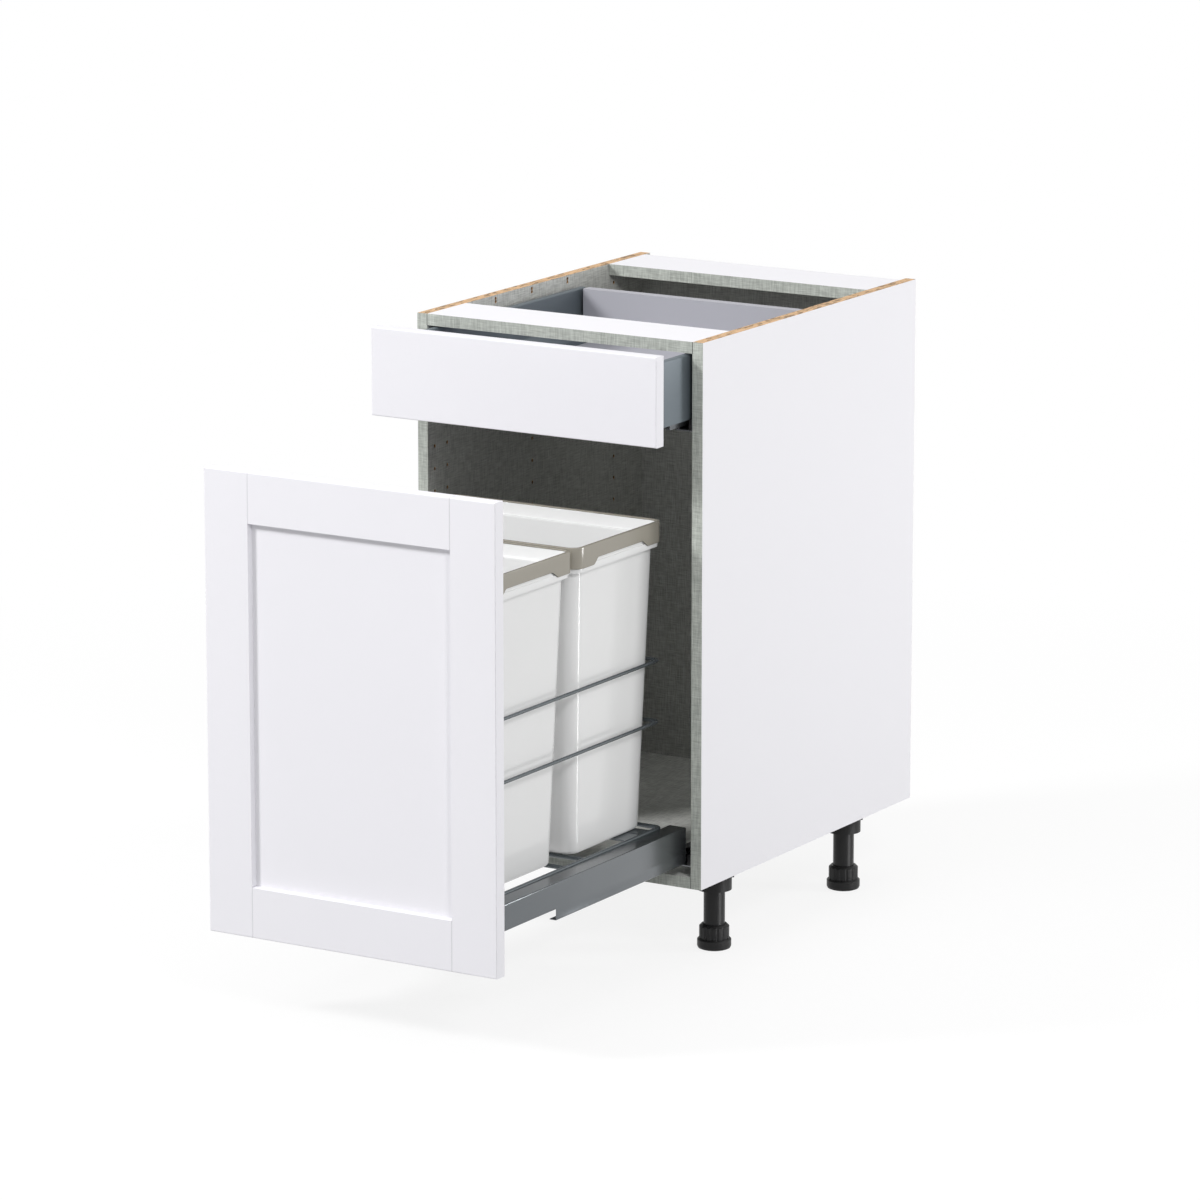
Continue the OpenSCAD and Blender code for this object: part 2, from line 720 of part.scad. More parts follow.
module pullout_mid_left() { in_pullout_mid() left_side() mid_member(pullout_foot_z); }
module pullout_mid_right() { in_pullout_mid() mid_member(pullout_foot_z); }
module pullout_mid_glides() { in_pullout_mid() mid_glides(pullout_foot_z); }
module drawer_mid_left() { in_drawer_mid() left_side() mid_member(drawer_foot_z); }
module drawer_mid_right() { in_drawer_mid() mid_member(drawer_foot_z); }
module drawer_mid_glides() { in_drawer_mid() mid_glides(drawer_foot_z); }
module pullout_slide_left() { in_pullout() left_side() slide_member(pullout_foot_z, slide_len); }
module pullout_slide_right() { in_pullout() slide_member(pullout_foot_z, slide_len); }
module drawer_slide_left() { in_drawer() left_side() slide_member(drawer_foot_z, drawer_len); }
module drawer_slide_right() { in_drawer() slide_member(drawer_foot_z, drawer_len); }

// Fronts. A front stands behind y = 0 at its back face, centred on X, with its foot at z = 0.

// Outline across a front: places along the span, and depths behind the back face
function edge_points(len) = [
    [-len / 2, 0], [len / 2, 0],
    for (a = [0 : 22.5 : 90])
        [len / 2 - edge_round + edge_round * cos(a), -front_t + edge_round - edge_round * sin(a)],
    for (a = [90 : 22.5 : 180])
        [-len / 2 + edge_round + edge_round * cos(a), -front_t + edge_round - edge_round * sin(a)]
];

module front_blank(w, h) {
    intersection() {
        linear_extrude(h) polygon(edge_points(w));
        rotate([90, 0, 90]) translate([0, h / 2]) linear_extrude(w, center = true)
            polygon([for (p = edge_points(h)) [p[1], p[0]]]);
    }
}

// Section of a frame member from its outer edge inwards: drafted step and panel groove
panel_front = -front_t + stick_depth;
panel_back = panel_front + door_panel_t + groove_room;
moulding = [[0, -front_t], [frame_w, -front_t], [stile_w, panel_front]];

module member_section() {
    difference() {
        polygon(concat([[stile_w, 0], [0, 0]], moulding));
        span(stile_w - panel_groove, panel_front, stile_w + cut, panel_back);
    }
}

module in_door() { in_pullout() translate([0, -face_gap, door_z]) children(); }

module door_stile() {
    color(white) in_door() difference() {
        intersection() {
            front_blank(front_w, door_h);
            translate([front_w / 2, 0, -cut]) mirror([1, 0, 0]) linear_extrude(door_h + 2 * cut)
                member_section();
        }
        door_screw_holes();
    }
}

// Rail between the stiles, coped over their moulding, with a tongue that fills their groove
module door_rail() {
    tongue_x = front_w / 2 - stile_w + panel_groove - 0.5;
    difference() {
        rotate([90, 0, 90]) linear_extrude(front_w - 2 * frame_w - 2 * joint_gap, center = true)
            rotate(90) mirror([0, 1]) member_section();
        both_sides() translate([front_w / 2 + joint_gap, 0, -cut]) mirror([1, 0, 0])
            translate([2 * joint_gap, 0, 0]) linear_extrude(stile_w + 2 * cut)
                polygon(concat([[stile_w, 1], [-cut, 1]], [[-cut, -front_t - cut]],
                    [[frame_w, -front_t - cut]], [for (i = [1 : len(moulding) - 1]) moulding[i]]));
    }
    translate([-tongue_x, panel_front + groove_room / 2, 0])
        cube([2 * tongue_x, door_panel_t, stile_w - panel_groove]);
}

module door_stile_right() { door_stile(); }
module door_stile_left() { left_side() door_stile(); }

module door_rail_bottom() {
    color(white) in_door() intersection() {
        front_blank(front_w, door_h);
        door_rail();
    }
}

module door_rail_top() {
    color(white) in_door() intersection() {
        front_blank(front_w, door_h);
        translate([0, 0, door_h]) mirror([0, 0, 1]) door_rail();
    }
}

module door_panel() {
    reach = stile_w - panel_groove + 0.5;
    color(white) in_door() translate([-front_w / 2 + reach, panel_front + groove_room / 2, reach])
        cube([front_w - 2 * reach, door_panel_t, door_h - 2 * reach]);
}

// Screw places on the back of the door, in the door's own frame
bracket_screw_x = [box_x + 8, skin_x - 7];
bracket_screw_z = [pullout_top_z + low_screw_rise, pullout_top_z + high_screw_rise];
gallery_screw_drop = gallery_plate_h / 2 - 7;

module door_screw_places() {
    for (x = bracket_screw_x, z = bracket_screw_z) translate([x, 0, z - door_z]) children();
    for (z = [lower_gallery_z, upper_gallery_z], s = [-1, 1])
        translate([gallery_x, 0, z - door_z + s * gallery_screw_drop]) children();
}

module door_screw_holes() {
    door_screw_places() peg_y(0, -screw_len, 0, screw_d + 2 * hole_clear, screw_len + cut);
}

module door_screws() {
    color(zinc) in_door() both_sides() door_screw_places() {
        peg_y(0, -screw_len + 0.5, 0, screw_d, screw_len - 0.5 + bracket_t);
        peg_y(0, bracket_t, 0, screw_head_d, screw_head_t);
    }
}

// Pull-out sides and what joins them to the door

// Closed lower box of the pull-out side, with the slide under its shelf
module pullout_side() {
    top = pullout_side_rise;
    color(steel) in_pullout() difference() {
        translate([0, 0, pullout_foot_z]) along_y(side_front_y, slide_len - side_front_y) {
            span(skin_x - sheet_t, skin_lift, skin_x, top);
            span(box_x, top - sheet_t, skin_x, top);
            span(box_x, slide_top_z, box_x + sheet_t, top);
            span(box_x, slide_top_z, track_x + channel_half_w, slide_top_z + sheet_t);
            span(skin_x - lip_w, skin_lift, skin_x, skin_lift + sheet_t);
        }
        translate([skin_x - lip_w - cut, side_front_y - cut, pullout_foot_z + skin_lift - cut])
            cube([lip_w + 2 * cut, notch_len + cut, pullout_notch_h + cut]);
        for (b = flat_bars)
            peg_x(box_x - cut, b[0], rivet_z, rivet_d + 2 * hole_clear, sheet_t + 2 * cut);
    }
}

module pullout_side_left() { left_side() pullout_side(); }
module pullout_side_right() { pullout_side(); }

// Plastic plug in the rear end of each side, above the shelf and beside the slide
module pullout_end_caps() {
    depth = 8;
    room = 0.2;
    shelf_z = slide_top_z + sheet_t + room;
    color(black) in_pullout() both_sides() translate([0, 0, pullout_foot_z])
        along_y(slide_len - depth, depth) {
            span(box_x + sheet_t + room, shelf_z, skin_x - sheet_t - room,
                pullout_side_rise - sheet_t - room);
            span(track_x + channel_half_w + 0.5, skin_lift + sheet_t + room,
                skin_x - sheet_t - room, shelf_z);
        }
}

// Plate on the back of the door with a tongue inside the side
module pullout_front_brackets() {
    plate_z = pullout_foot_z + skin_lift + pullout_notch_h;
    plate_top = bracket_screw_z[1] + 10;
    shelf_z = pullout_foot_z + slide_top_z + sheet_t;
    color(zinc) in_pullout() both_sides() difference() {
        union() {
            translate([box_x - 1, -face_gap, plate_z])
                cube([side_w + 1, bracket_t, plate_top - plate_z]);
            translate([skin_x - sheet_t - bracket_tongue_w - 0.2, bracket_back_y - 0.1,
                shelf_z + bracket_tongue_room])
                cube([bracket_tongue_w, bracket_tongue_len,
                    pullout_top_z - sheet_t - shelf_z - 2 * bracket_tongue_room]);
        }
        for (x = bracket_screw_x, z = bracket_screw_z)
            peg_y(x, -face_gap - cut, z, screw_d + 2 * hole_clear, bracket_t + 2 * cut);
    }
}

// Wires. A run is straight, and a bend is a quarter turn about its centre.
module wire_along_x(x0, x1, y, z, d) { peg_x(x0, y, z, d, x1 - x0); }
module wire_along_y(x, y0, y1, z, d) { peg_y(x, y0, z, d, y1 - y0); }

module wire_bend(x, y, z, d, start) {
    translate([x, y, z]) rotate([0, 0, start]) rotate_extrude(angle = 90)
        translate([wire_bend_r, 0]) circle(d = d);
}

// U shaped wire: two long arms from front_y0 and a rear run between two bends
module u_wire(half_w, y0, y1, z, d) {
    r = wire_bend_r;
    for (x = [-half_w, half_w]) wire_along_y(x, y0, y1 - r, z, d);
    wire_along_x(-half_w + r, half_w - r, y1, z, d);
    wire_bend(half_w - r, y1 - r, z, d, 0);
    wire_bend(-half_w + r, y1 - r, z, d, 90);
}

// Rack: closed wire frame with cross wires and flat bars welded to it. The bars' ends turn down.
module bin_rack() {
    r = wire_bend_r;
    half_w = rack_x - rack_wire_d / 2;
    front_run = rack_front_y + rack_wire_d / 2;
    rear_run = rack_rear_y - rack_wire_d / 2;
    color(steel) in_pullout() {
        u_wire(half_w, front_run + r, rear_run, rack_wire_z, rack_wire_d);
        wire_along_x(-half_w + r, half_w - r, front_run, rack_wire_z, rack_wire_d);
        wire_bend(half_w - r, front_run + r, rack_wire_z, rack_wire_d, 270);
        wire_bend(-half_w + r, front_run + r, rack_wire_z, rack_wire_d, 180);
        for (y = cross_wire_y)
            wire_along_x(-half_w, half_w, y, bar_top_z - rack_wire_d / 2, rack_wire_d);
        for (b = flat_bars) difference() {
            translate([0, b[0] - b[1] / 2, 0]) {
                translate([-rack_x, 0, bar_top_z - bar_t]) cube([2 * rack_x, b[1], bar_t]);
                both_sides() translate([rack_x - bar_t, 0, bar_top_z - tab_h])
                    cube([bar_t, b[1], tab_h]);
            }
            both_sides() peg_x(rack_x - bar_t - cut, b[0], rivet_z, rivet_d + 2 * hole_clear,
                bar_t + 2 * cut);
        }
    }
}

// Rivets through the tabs of the bars and the inner walls of the sides
module rack_rivets() {
    head_t = 1.2;
    grip = box_x + sheet_t - (rack_x - bar_t);
    color(zinc) in_pullout() both_sides() for (b = flat_bars) {
        peg_x(rack_x - bar_t - head_t, b[0], rivet_z, rivet_d + 3, head_t);
        peg_x(rack_x - bar_t, b[0], rivet_z, rivet_d, grip);
        peg_x(box_x + sheet_t, b[0], rivet_z, rivet_d + 2, head_t);
    }
}

module gallery(z) {
    color(steel) in_pullout() u_wire(gallery_x, bracket_back_y, gallery_rear_y, z, gallery_wire_d);
}

module upper_gallery() { gallery(upper_gallery_z); }
module lower_gallery() { gallery(lower_gallery_z); }

// Plates welded to the front ends of the gallery wires
module gallery_brackets() {
    color(steel) in_pullout() both_sides() for (z = [lower_gallery_z, upper_gallery_z]) difference() {
        translate([gallery_x - gallery_plate_w / 2, -face_gap, z - gallery_plate_h / 2])
            cube([gallery_plate_w, bracket_t, gallery_plate_h]);
        for (s = [-1, 1]) peg_y(gallery_x, -face_gap - cut, z + s * gallery_screw_drop,
            screw_d + 2 * hole_clear, bracket_t + 2 * cut);
    }
}

// Bent wires that stand on the rack and hold the rear runs of the galleries
module gallery_uprights() {
    foot_z = rack_wire_z - rack_wire_d / 2 - gallery_wire_d / 2;
    color(steel) in_pullout() for (x = [-upright_x, upright_x]) {
        translate([x, upright_y, foot_z])
            cylinder(d = gallery_wire_d, h = upper_gallery_z + 8 - foot_z);
        wire_along_y(x, rack_rear_y - rack_wire_d - 4, upright_y, foot_z, gallery_wire_d);
        translate([x, upright_y, foot_z]) sphere(d = gallery_wire_d);
    }
}

// Bins. A bin is drawn about its own centre, at its height in the carcass.

module bin_slab(inset, z) {
    r = bin_corner_r;
    translate([0, 0, z]) linear_extrude(0.01)
        rounded_rect(2 * (ring_half_w - inset), bin_len - 2 * inset, r, $fn = hull_fn);
}

function body_inset(z) = bin_rim_step + bin_taper * (bin_lip_z - z) / (bin_lip_z - bin_base_z);

// Tapered body with a rounded foot, up to the height top and thinner by the wall
module bin_body(wall, base, top) {
    hull() {
        bin_slab(body_inset(base) + wall + 5, base);
        bin_slab(body_inset(base) + wall + 1.5, base + 1.5);
        bin_slab(body_inset(base + 5) + wall, base + 5);
        bin_slab(body_inset(top) + wall, top);
    }
}

module rim_block(inset, z0, z1) {
    translate([0, 0, z0]) linear_extrude(z1 - z0)
        rounded_rect(2 * (ring_half_w - inset), bin_len - 2 * inset, bin_corner_r);
}

// Deep moulded bin with a stepped rim
module bin(y) {
    shelf_z = ring_top_z - bin_ledge_drop;
    color(bin_white) in_pullout() translate([0, y, 0]) difference() {
        union() {
            bin_body(0, bin_base_z, bin_lip_z + 0.01);
            rim_block(bin_lip_inset, bin_lip_z, bin_lip_z + bin_lip_h + lip_in_ring);
            rim_block(bin_collar_inset, bin_lip_z, bin_top_z);
        }
        bin_body(bin_wall, bin_base_z + bin_floor_t, shelf_z);
        rim_block(bin_collar_inset + bin_wall, shelf_z, bin_top_z + cut);
    }
}

module front_bin() { bin(front_bin_y); }
module rear_bin() { bin(rear_bin_y); }

// Bag ring: thin collar over the rim, cut away in the middle of both long faces
module bin_ring(y) {
    base_z = ring_top_z - ring_h;
    half = ring_cut_len / 2;
    color(taupe) in_pullout() translate([0, y, 0]) difference() {
        rim_block(0, base_z, ring_top_z);
        rim_block(ring_wall, base_z - cut, ring_top_z - ring_top_t);
        rim_block(ring_flange_w, base_z - cut, ring_top_z + cut);
        translate([0, 0, base_z]) rotate([90, 0, 90])
            linear_extrude(2 * ring_half_w + 2 * cut, center = true) polygon([
                [-half, -cut], [half, -cut], [half, 0], [half - ring_cut_slant, ring_cut_h],
                [-half + ring_cut_slant, ring_cut_h], [-half, 0]
            ]);
    }
}

module front_bin_ring() { bin_ring(front_bin_y); }
module rear_bin_ring() { bin_ring(rear_bin_y); }

// Drawer

drawer_screw_places = [
    [skin_x - drawer_wall_w / 2, drawer_top_z - drawer_screw_drop],
    [skin_x - drawer_wall_w / 2, drawer_top_z - drawer_screw_drop - drawer_screw_spacing],
    [track_x - 1, drawer_foot_z + slide_top_z + sheet_t + screw_head_d / 2 + 1.5]
];

module drawer_front() {
    color(white) in_drawer() difference() {
        translate([0, -face_gap, drawer_front_z]) front_blank(front_w, drawer_front_h);
        both_sides() for (p = drawer_screw_places)
            peg_y(p[0], -face_gap - screw_len, p[1], screw_d + 2 * hole_clear, screw_len + cut);
    }
}

// Upright strip from z0 to z1 whose two upper corners are rounded
module rolled_top(x0, x1, z0, z1, r) {
    polygon(concat([[x0, z0], [x1, z0]],
        [for (a = [0 : 22.5 : 90]) [x1 - r + r * cos(a), z1 - r + r * sin(a)]],
        [for (a = [90 : 22.5 : 180]) [x0 + r + r * cos(a), z1 - r + r * sin(a)]]));
}

// Steel side: thin double wall over a boxed foot, with a shelf on the slide and a floor flange
module drawer_side() {
    inner_face = wall_inner_x;
    top_round = 2.5;
    color(drawer_steel) in_drawer() difference() {
        along_y(side_front_y, drawer_len - side_front_y) {
            span(skin_x - sheet_t, drawer_foot_z + skin_lift, skin_x, slope_top_z);
            difference() {
                rolled_top(inner_face, skin_x, slope_top_z - 0.5, drawer_top_z, top_round);
                rolled_top(inner_face + sheet_t, skin_x - sheet_t, slope_top_z - cut,
                    drawer_top_z - sheet_t, top_round - sheet_t);
            }
            polygon([
                [box_x, slope_z], [inner_face, slope_top_z], [inner_face + sheet_t, slope_top_z],
                [inner_face + sheet_t, slope_top_z - 0.5], [box_x + sheet_t, slope_z - 0.5]
            ]);
            span(box_x, drawer_floor_z - sheet_t, box_x + sheet_t, slope_z);
            span(box_x - floor_flange_w, drawer_floor_z - sheet_t, box_x + sheet_t, drawer_floor_z);
            span(box_x, drawer_foot_z + slide_top_z, track_x + channel_half_w,
                drawer_foot_z + slide_top_z + sheet_t);
            span(skin_x - lip_w, drawer_foot_z + skin_lift, skin_x, drawer_foot_z + skin_lift + sheet_t);
        }
        translate([skin_x - lip_w - cut, side_front_y - cut, drawer_foot_z + skin_lift - cut])
            cube([lip_w + 2 * cut, notch_len + cut, drawer_notch_h + cut]);
    }
}

module drawer_side_left() { left_side() drawer_side(); }
module drawer_side_right() { drawer_side(); }

module drawer_floor() {
    w = box_x - 0.2;
    color("#dcdce2") in_drawer() translate([-w, side_front_y, drawer_floor_z])
        cube([2 * w, drawer_len - side_front_y, drawer_floor_t]);
}

// Back board on the floor, wider above the slope of the sides
module drawer_back() {
    low_x = box_x - 0.3;
    high_x = wall_inner_x - drawer_back_inset;
    step = high_x - low_x;
    color("#d5d5dd") in_drawer() difference() {
        along_y(drawer_len - drawer_back_t, drawer_back_t) polygon([
            [-low_x, drawer_board_top], [low_x, drawer_board_top], [low_x, slope_z],
            [high_x, slope_z + step], [high_x, drawer_top_z], [-high_x, drawer_top_z],
            [-high_x, slope_z + step], [-low_x, slope_z]
        ]);
        both_sides() back_screw_places()
            peg_y(0, drawer_len - screw_len, 0, screw_d + 2 * hole_clear, screw_len + cut);
    }
}

module back_screw_places() {
    for (z = [drawer_board_top + back_screw_inset, drawer_top_z - back_screw_inset])
        translate([box_x - back_screw_side, 0, z]) children();
}

// Plate on the drawer front with a tongue between the walls of the side
module drawer_front_brackets() {
    tongue_w = drawer_wall_w - 2 * sheet_t - 1.5;
    color(zinc) in_drawer() both_sides() difference() {
        union() {
            translate([box_x + 1, -face_gap, drawer_foot_z + slide_top_z + sheet_t])
                cube([side_w - 1.5, bracket_t, drawer_top_z - 3 - drawer_foot_z - slide_top_z - sheet_t]);
            translate([skin_x - drawer_wall_w / 2 - tongue_w / 2, bracket_back_y - 0.1,
                drawer_top_z - drawer_tongue_drop])
                cube([tongue_w, drawer_tongue_len, drawer_tongue_h]);
        }
        for (p = drawer_screw_places)
            peg_y(p[0], -face_gap - cut, p[1], screw_d + 2 * hole_clear, bracket_t + 2 * cut);
    }
}

// Plates over the rear ends of the sides that hold the back board
module drawer_back_holders() {
    inner = box_x - holder_w;
    color(zinc) in_drawer() both_sides() difference() {
        translate([inner, drawer_len, drawer_board_top + 2])
            cube([skin_x - inner - 0.5, holder_t, drawer_top_z - drawer_board_top - 4]);
        back_screw_places() peg_y(0, drawer_len - cut, 0, screw_d + 2 * hole_clear, holder_t + 2 * cut);
    }
}

module drawer_screws() {
    color(zinc) in_drawer() both_sides() {
        for (p = drawer_screw_places) {
            peg_y(p[0], -face_gap - screw_len + 0.5, p[1], screw_d, screw_len - 0.5 + bracket_t);
            peg_y(p[0], bracket_back_y, p[1], screw_head_d, screw_head_t);
        }
        back_screw_places() {
            peg_y(0, drawer_len - screw_len + 0.5, 0, screw_d, screw_len - 0.5 + holder_t);
            peg_y(0, drawer_len + holder_t, 0, screw_head_d, screw_head_t);
        }
    }
}

side_panel_left();
side_panel_right();
bottom_panel();
back_panel();
front_top_rail();
rear_top_rail();
edge_bands();
carcass_dowels();
leg_sockets();
leg_tubes();
leg_screws();
foot_front_left();
foot_front_right();
foot_rear_left();
foot_rear_right();
pullout_runner_left();
pullout_runner_right();
drawer_runner_left();
drawer_runner_right();
runner_front_guides();
runner_screws();
door_stile_left();
door_stile_right();
door_rail_top();
door_rail_bottom();
door_panel();
pullout_side_left();
pullout_side_right();
pullout_end_caps();
pullout_slide_left();
pullout_slide_right();
pullout_front_brackets();
door_screws();
bin_rack();
rack_rivets();
upper_gallery();
lower_gallery();
gallery_brackets();
gallery_uprights();
pullout_mid_left();
pullout_mid_right();
pullout_mid_glides();
front_bin();
rear_bin();
front_bin_ring();
rear_bin_ring();
drawer_front();
drawer_side_left();
drawer_side_right();
drawer_floor();
drawer_back();
drawer_slide_left();
drawer_slide_right();
drawer_front_brackets();
drawer_back_holders();
drawer_screws();
drawer_mid_left();
drawer_mid_right();
drawer_mid_glides();
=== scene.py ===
"""Base cabinet on four legs, with a drawer and a pull-out that carries two waste bins.

Metres. X runs to the right, Y to the back and Z up from the floor. The cabinet is shown with its
pull-out fully open and its drawer a little open.
"""

import math

import bmesh
import bpy
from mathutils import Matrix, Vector


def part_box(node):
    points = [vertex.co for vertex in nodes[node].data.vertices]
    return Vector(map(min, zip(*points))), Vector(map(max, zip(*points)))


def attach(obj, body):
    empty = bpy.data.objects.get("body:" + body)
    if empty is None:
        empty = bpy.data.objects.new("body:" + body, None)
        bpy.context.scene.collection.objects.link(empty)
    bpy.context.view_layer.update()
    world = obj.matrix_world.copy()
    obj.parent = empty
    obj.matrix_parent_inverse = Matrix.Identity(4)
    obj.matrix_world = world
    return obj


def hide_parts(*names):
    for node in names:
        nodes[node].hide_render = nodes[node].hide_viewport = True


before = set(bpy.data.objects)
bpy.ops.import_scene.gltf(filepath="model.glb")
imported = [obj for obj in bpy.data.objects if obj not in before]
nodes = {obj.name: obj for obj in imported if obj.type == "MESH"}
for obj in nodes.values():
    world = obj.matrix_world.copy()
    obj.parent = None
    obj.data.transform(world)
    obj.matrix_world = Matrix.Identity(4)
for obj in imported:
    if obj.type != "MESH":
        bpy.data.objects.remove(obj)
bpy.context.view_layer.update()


# Carcass sides. Two upright boards of 16 mm faced chipboard: smooth white outside, linen-patterned
# grey-green inside. The top edges are sawn and bare, and the inner faces are drilled in a 32 mm
# grid. They are dowelled to the bottom and the two top rails.
BOARD_WHITE = (0.845, 0.838, 0.872)
LINEN_GREY = (0.54, 0.546, 0.52)
CHIP_TAN = (0.53, 0.345, 0.195)
FLAKE_DENSITY = (300, 90, 300)
INNER_FACE_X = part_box("side_panel_right")[0].x
HOLE_RIM = 0.0015
NEAR_BOARD_EDGE = 0.997


def adder(tree):
    """Returns a function that adds a node to a tree, with its values, links and settings."""

    def add(kind, values=None, links=None, **settings):
        node = tree.nodes.new(kind)
        for key, value in settings.items():
            setattr(node, key, value)
        for key, value in (values or {}).items():
            node.inputs[key].default_value = value
        for key, output in (links or {}).items():
            tree.links.new(output, node.inputs[key])
        return node

    return add


def new_finish(name, colour, roughness, metallic=0.0):
    """Returns a new material, a function that adds nodes and one that wires its shader."""
    material = bpy.data.materials.new(name)
    material.use_nodes = True
    tree = material.node_tree
    shader = tree.nodes["Principled BSDF"]
    shader.inputs["Base Color"].default_value = (*colour, 1)
    shader.inputs["Roughness"].default_value = roughness
    shader.inputs["Metallic"].default_value = metallic

    def wire(output, target):
        tree.links.new(output, shader.inputs[target])

    return material, adder(tree), wire


def calculate(add, operation, *terms):
    """Math on one or two terms, each an output or a number."""
    values = {i: term for i, term in enumerate(terms) if isinstance(term, (int, float))}
    links = {i: term for i, term in enumerate(terms) if i not in values}
    return add("ShaderNodeMath", values, links, operation=operation).outputs[0]


def middle_and_half(node):
    """Middle of a CAD node's box, and half its size."""
    low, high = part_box(node)
    return (low + high) / 2, (high - low) / 2


def place(add, scale=(1, 1, 1)):
    """Coordinates on the object in metres, stretched by a scale."""
    where = add("ShaderNodeTexCoord").outputs["Object"]
    return add("ShaderNodeMapping", {"Scale": scale}, {"Vector": where}).outputs["Vector"]


def noise(add, scale, size, detail=3.0, roughness=0.5):
    """Noise of a size in cycles per metre, stretched by a scale."""
    return add(
        "ShaderNodeTexNoise",
        {"Scale": size, "Detail": detail, "Roughness": roughness},
        {"Vector": place(add, scale)},
    ).outputs["Fac"]


def ramp(add, fac, low, high, start=0.0, end=1.0):
    """Maps a factor from start..end to low..high."""
    node = add(
        "ShaderNodeMapRange",
        {"From Min": start, "From Max": end, "To Min": low, "To Max": high},
        {"Value": fac},
    )
    return node.outputs["Result"]


def tint(add, colour_a, colour_b, fac):
    """Mixes two colours, or two colour outputs, by a factor."""
    node = add("ShaderNodeMix", data_type="RGBA")
    tree = node.id_data
    for key, colour in ((6, colour_a), (7, colour_b)):
        if isinstance(colour, tuple):
            node.inputs[key].default_value = (*colour, 1)
        else:
            tree.links.new(colour, node.inputs[key])
    tree.links.new(fac, node.inputs[0])
    return node.outputs[2]


def shade(colour, amount):
    return tuple(min(1.0, c * amount) for c in colour)


def bump(add, height, strength, distance):
    return add(
        "ShaderNodeBump", {"Strength": strength, "Distance": distance}, {"Height": height}
    ).outputs["Normal"]


def linen_weave(add, lying=False):
    """Height of an uneven weave, whose threads cross on an upright face or on a lying board."""
    fine, long = 620, 52
    ways = ((fine, fine, long), (long, long, fine))
    if lying:
        ways = ((fine, long, fine), (long, fine, fine))
    one, other = (noise(add, way, 1.0, 2.0) for way in ways)
    return calculate(add, "ADD", one, other)


def linen_colour(add, colour, lying=False):
    """Mottled linen print in light and dark threads, and the height of its weave."""
    weave = ramp(add, linen_weave(add, lying), 0, 1, 0.72, 1.28)
    patch = ramp(add, noise(add, (1, 1, 1), 11.0), 0.0, 1.0, 0.35, 0.65)
    dark = tint(add, shade(colour, 0.7), shade(colour, 0.76), patch)
    return tint(add, dark, shade(colour, 1.24), weave), weave


def chipboard_colour(add, colour):
    """Sawn chipboard: long pale and dark flakes, pressed flat, in a tan ground."""
    flakes = add(
        "ShaderNodeTexVoronoi",
        {"Scale": 1.0, "Randomness": 1.0},
        {"Vector": place(add, FLAKE_DENSITY)},
    )
    split = add("ShaderNodeSeparateColor", None, {"Color": flakes.outputs["Color"]}).outputs[0]
    pale = tint(add, shade(colour, 0.78), shade(colour, 1.4), split)
    dark = ramp(add, split, 1.0, 0.0, 0.18, 0.3)
    ground = tint(add, pale, shade(colour, 0.42), dark)
    dust = ramp(add, noise(add, (1, 1, 1), 900.0), 0.0, 1.0, 0.45, 0.8)
    return tint(add, ground, shade(colour, 1.02), dust)


def faced_board(name, outside_sign):
    """White outside, linen inside, bare chipboard on sawn edges, painted shade in the holes."""
    material, add, wire = new_finish(name, BOARD_WHITE, 0.42)
    normal = add("ShaderNodeNewGeometry").outputs["True Normal"]
    across = add("ShaderNodeSeparateXYZ", None, {"Vector": normal}).outputs["X"]
    outward = calculate(add, "MULTIPLY", across, outside_sign)
    is_white = calculate(add, "GREATER_THAN", outward, 0.5)
    is_cut = calculate(add, "LESS_THAN", calculate(add, "ABSOLUTE", across), 0.5)
    spot = add("ShaderNodeSeparateXYZ", None, {"Vector": place(add)}).outputs["X"]
    depth = calculate(add, "MULTIPLY", spot, outside_sign)
    is_deep = calculate(add, "GREATER_THAN", depth, INNER_FACE_X + HOLE_RIM)
    within = calculate(add, "SUBTRACT", is_deep, is_white)
    middle, half = middle_and_half("side_panel_right")
    offset = add(
        "ShaderNodeVectorMath", {1: tuple(middle)}, {0: place(add)}, operation="SUBTRACT"
    ).outputs[0]
    share = add(
        "ShaderNodeVectorMath", {1: tuple(half)}, {0: offset}, operation="DIVIDE"
    ).outputs[0]
    share = add("ShaderNodeVectorMath", None, {0: share}, operation="ABSOLUTE").outputs[0]
    share = add("ShaderNodeSeparateXYZ", None, {"Vector": share})
    reach = calculate(add, "MAXIMUM", share.outputs["Y"], share.outputs["Z"])
    is_amid = calculate(add, "LESS_THAN", reach, NEAR_BOARD_EDGE)
    is_hole = calculate(add, "MULTIPLY", within, is_amid)
    is_bare = calculate(add, "MAXIMUM", is_cut, is_hole)
    cloth, weave = linen_colour(add, LINEN_GREY)
    pearl = noise(add, (1, 1, 1), 700.0, 2.0)
    white = tint(add, shade(BOARD_WHITE, 0.985), shade(BOARD_WHITE, 1.01), pearl)
    faces = tint(add, cloth, white, is_white)
    # In the holes the tan is painted at 0.62 of itself: painted shade inside them.
    chip_with_hole_shade = tint(add, chipboard_colour(add, CHIP_TAN), shade(CHIP_TAN, 0.62), is_hole)
    wire(tint(add, faces, chip_with_hole_shade, is_bare), "Base Color")
    rough = tint(add, (0.56, 0.56, 0.56), (0.4, 0.4, 0.4), is_white)
    wire(tint(add, rough, (0.85, 0.85, 0.85), is_bare), "Roughness")
    wire(bump(add, weave, 0.14, 0.0003), "Normal")
    return material


def dress(material, *names):
    """Gives CAD pieces a material."""
    for name in names:
        node = nodes[name]
        node.data.materials.clear()
        node.data.materials.append(material)


dress(faced_board("white_and_linen_left", -1.0), "side_panel_left")
dress(faced_board("white_and_linen_right", 1.0), "side_panel_right")


# Bottom, back and edge banding. The bottom is the same linen-faced board, the back is a thin
# linen panel that sits in grooves in the sides, and the front edges are closed with glued strips
# in the same pattern, with a fine dark seam between a side and the board that meets it.
SEAM_WIDTH = 0.0012


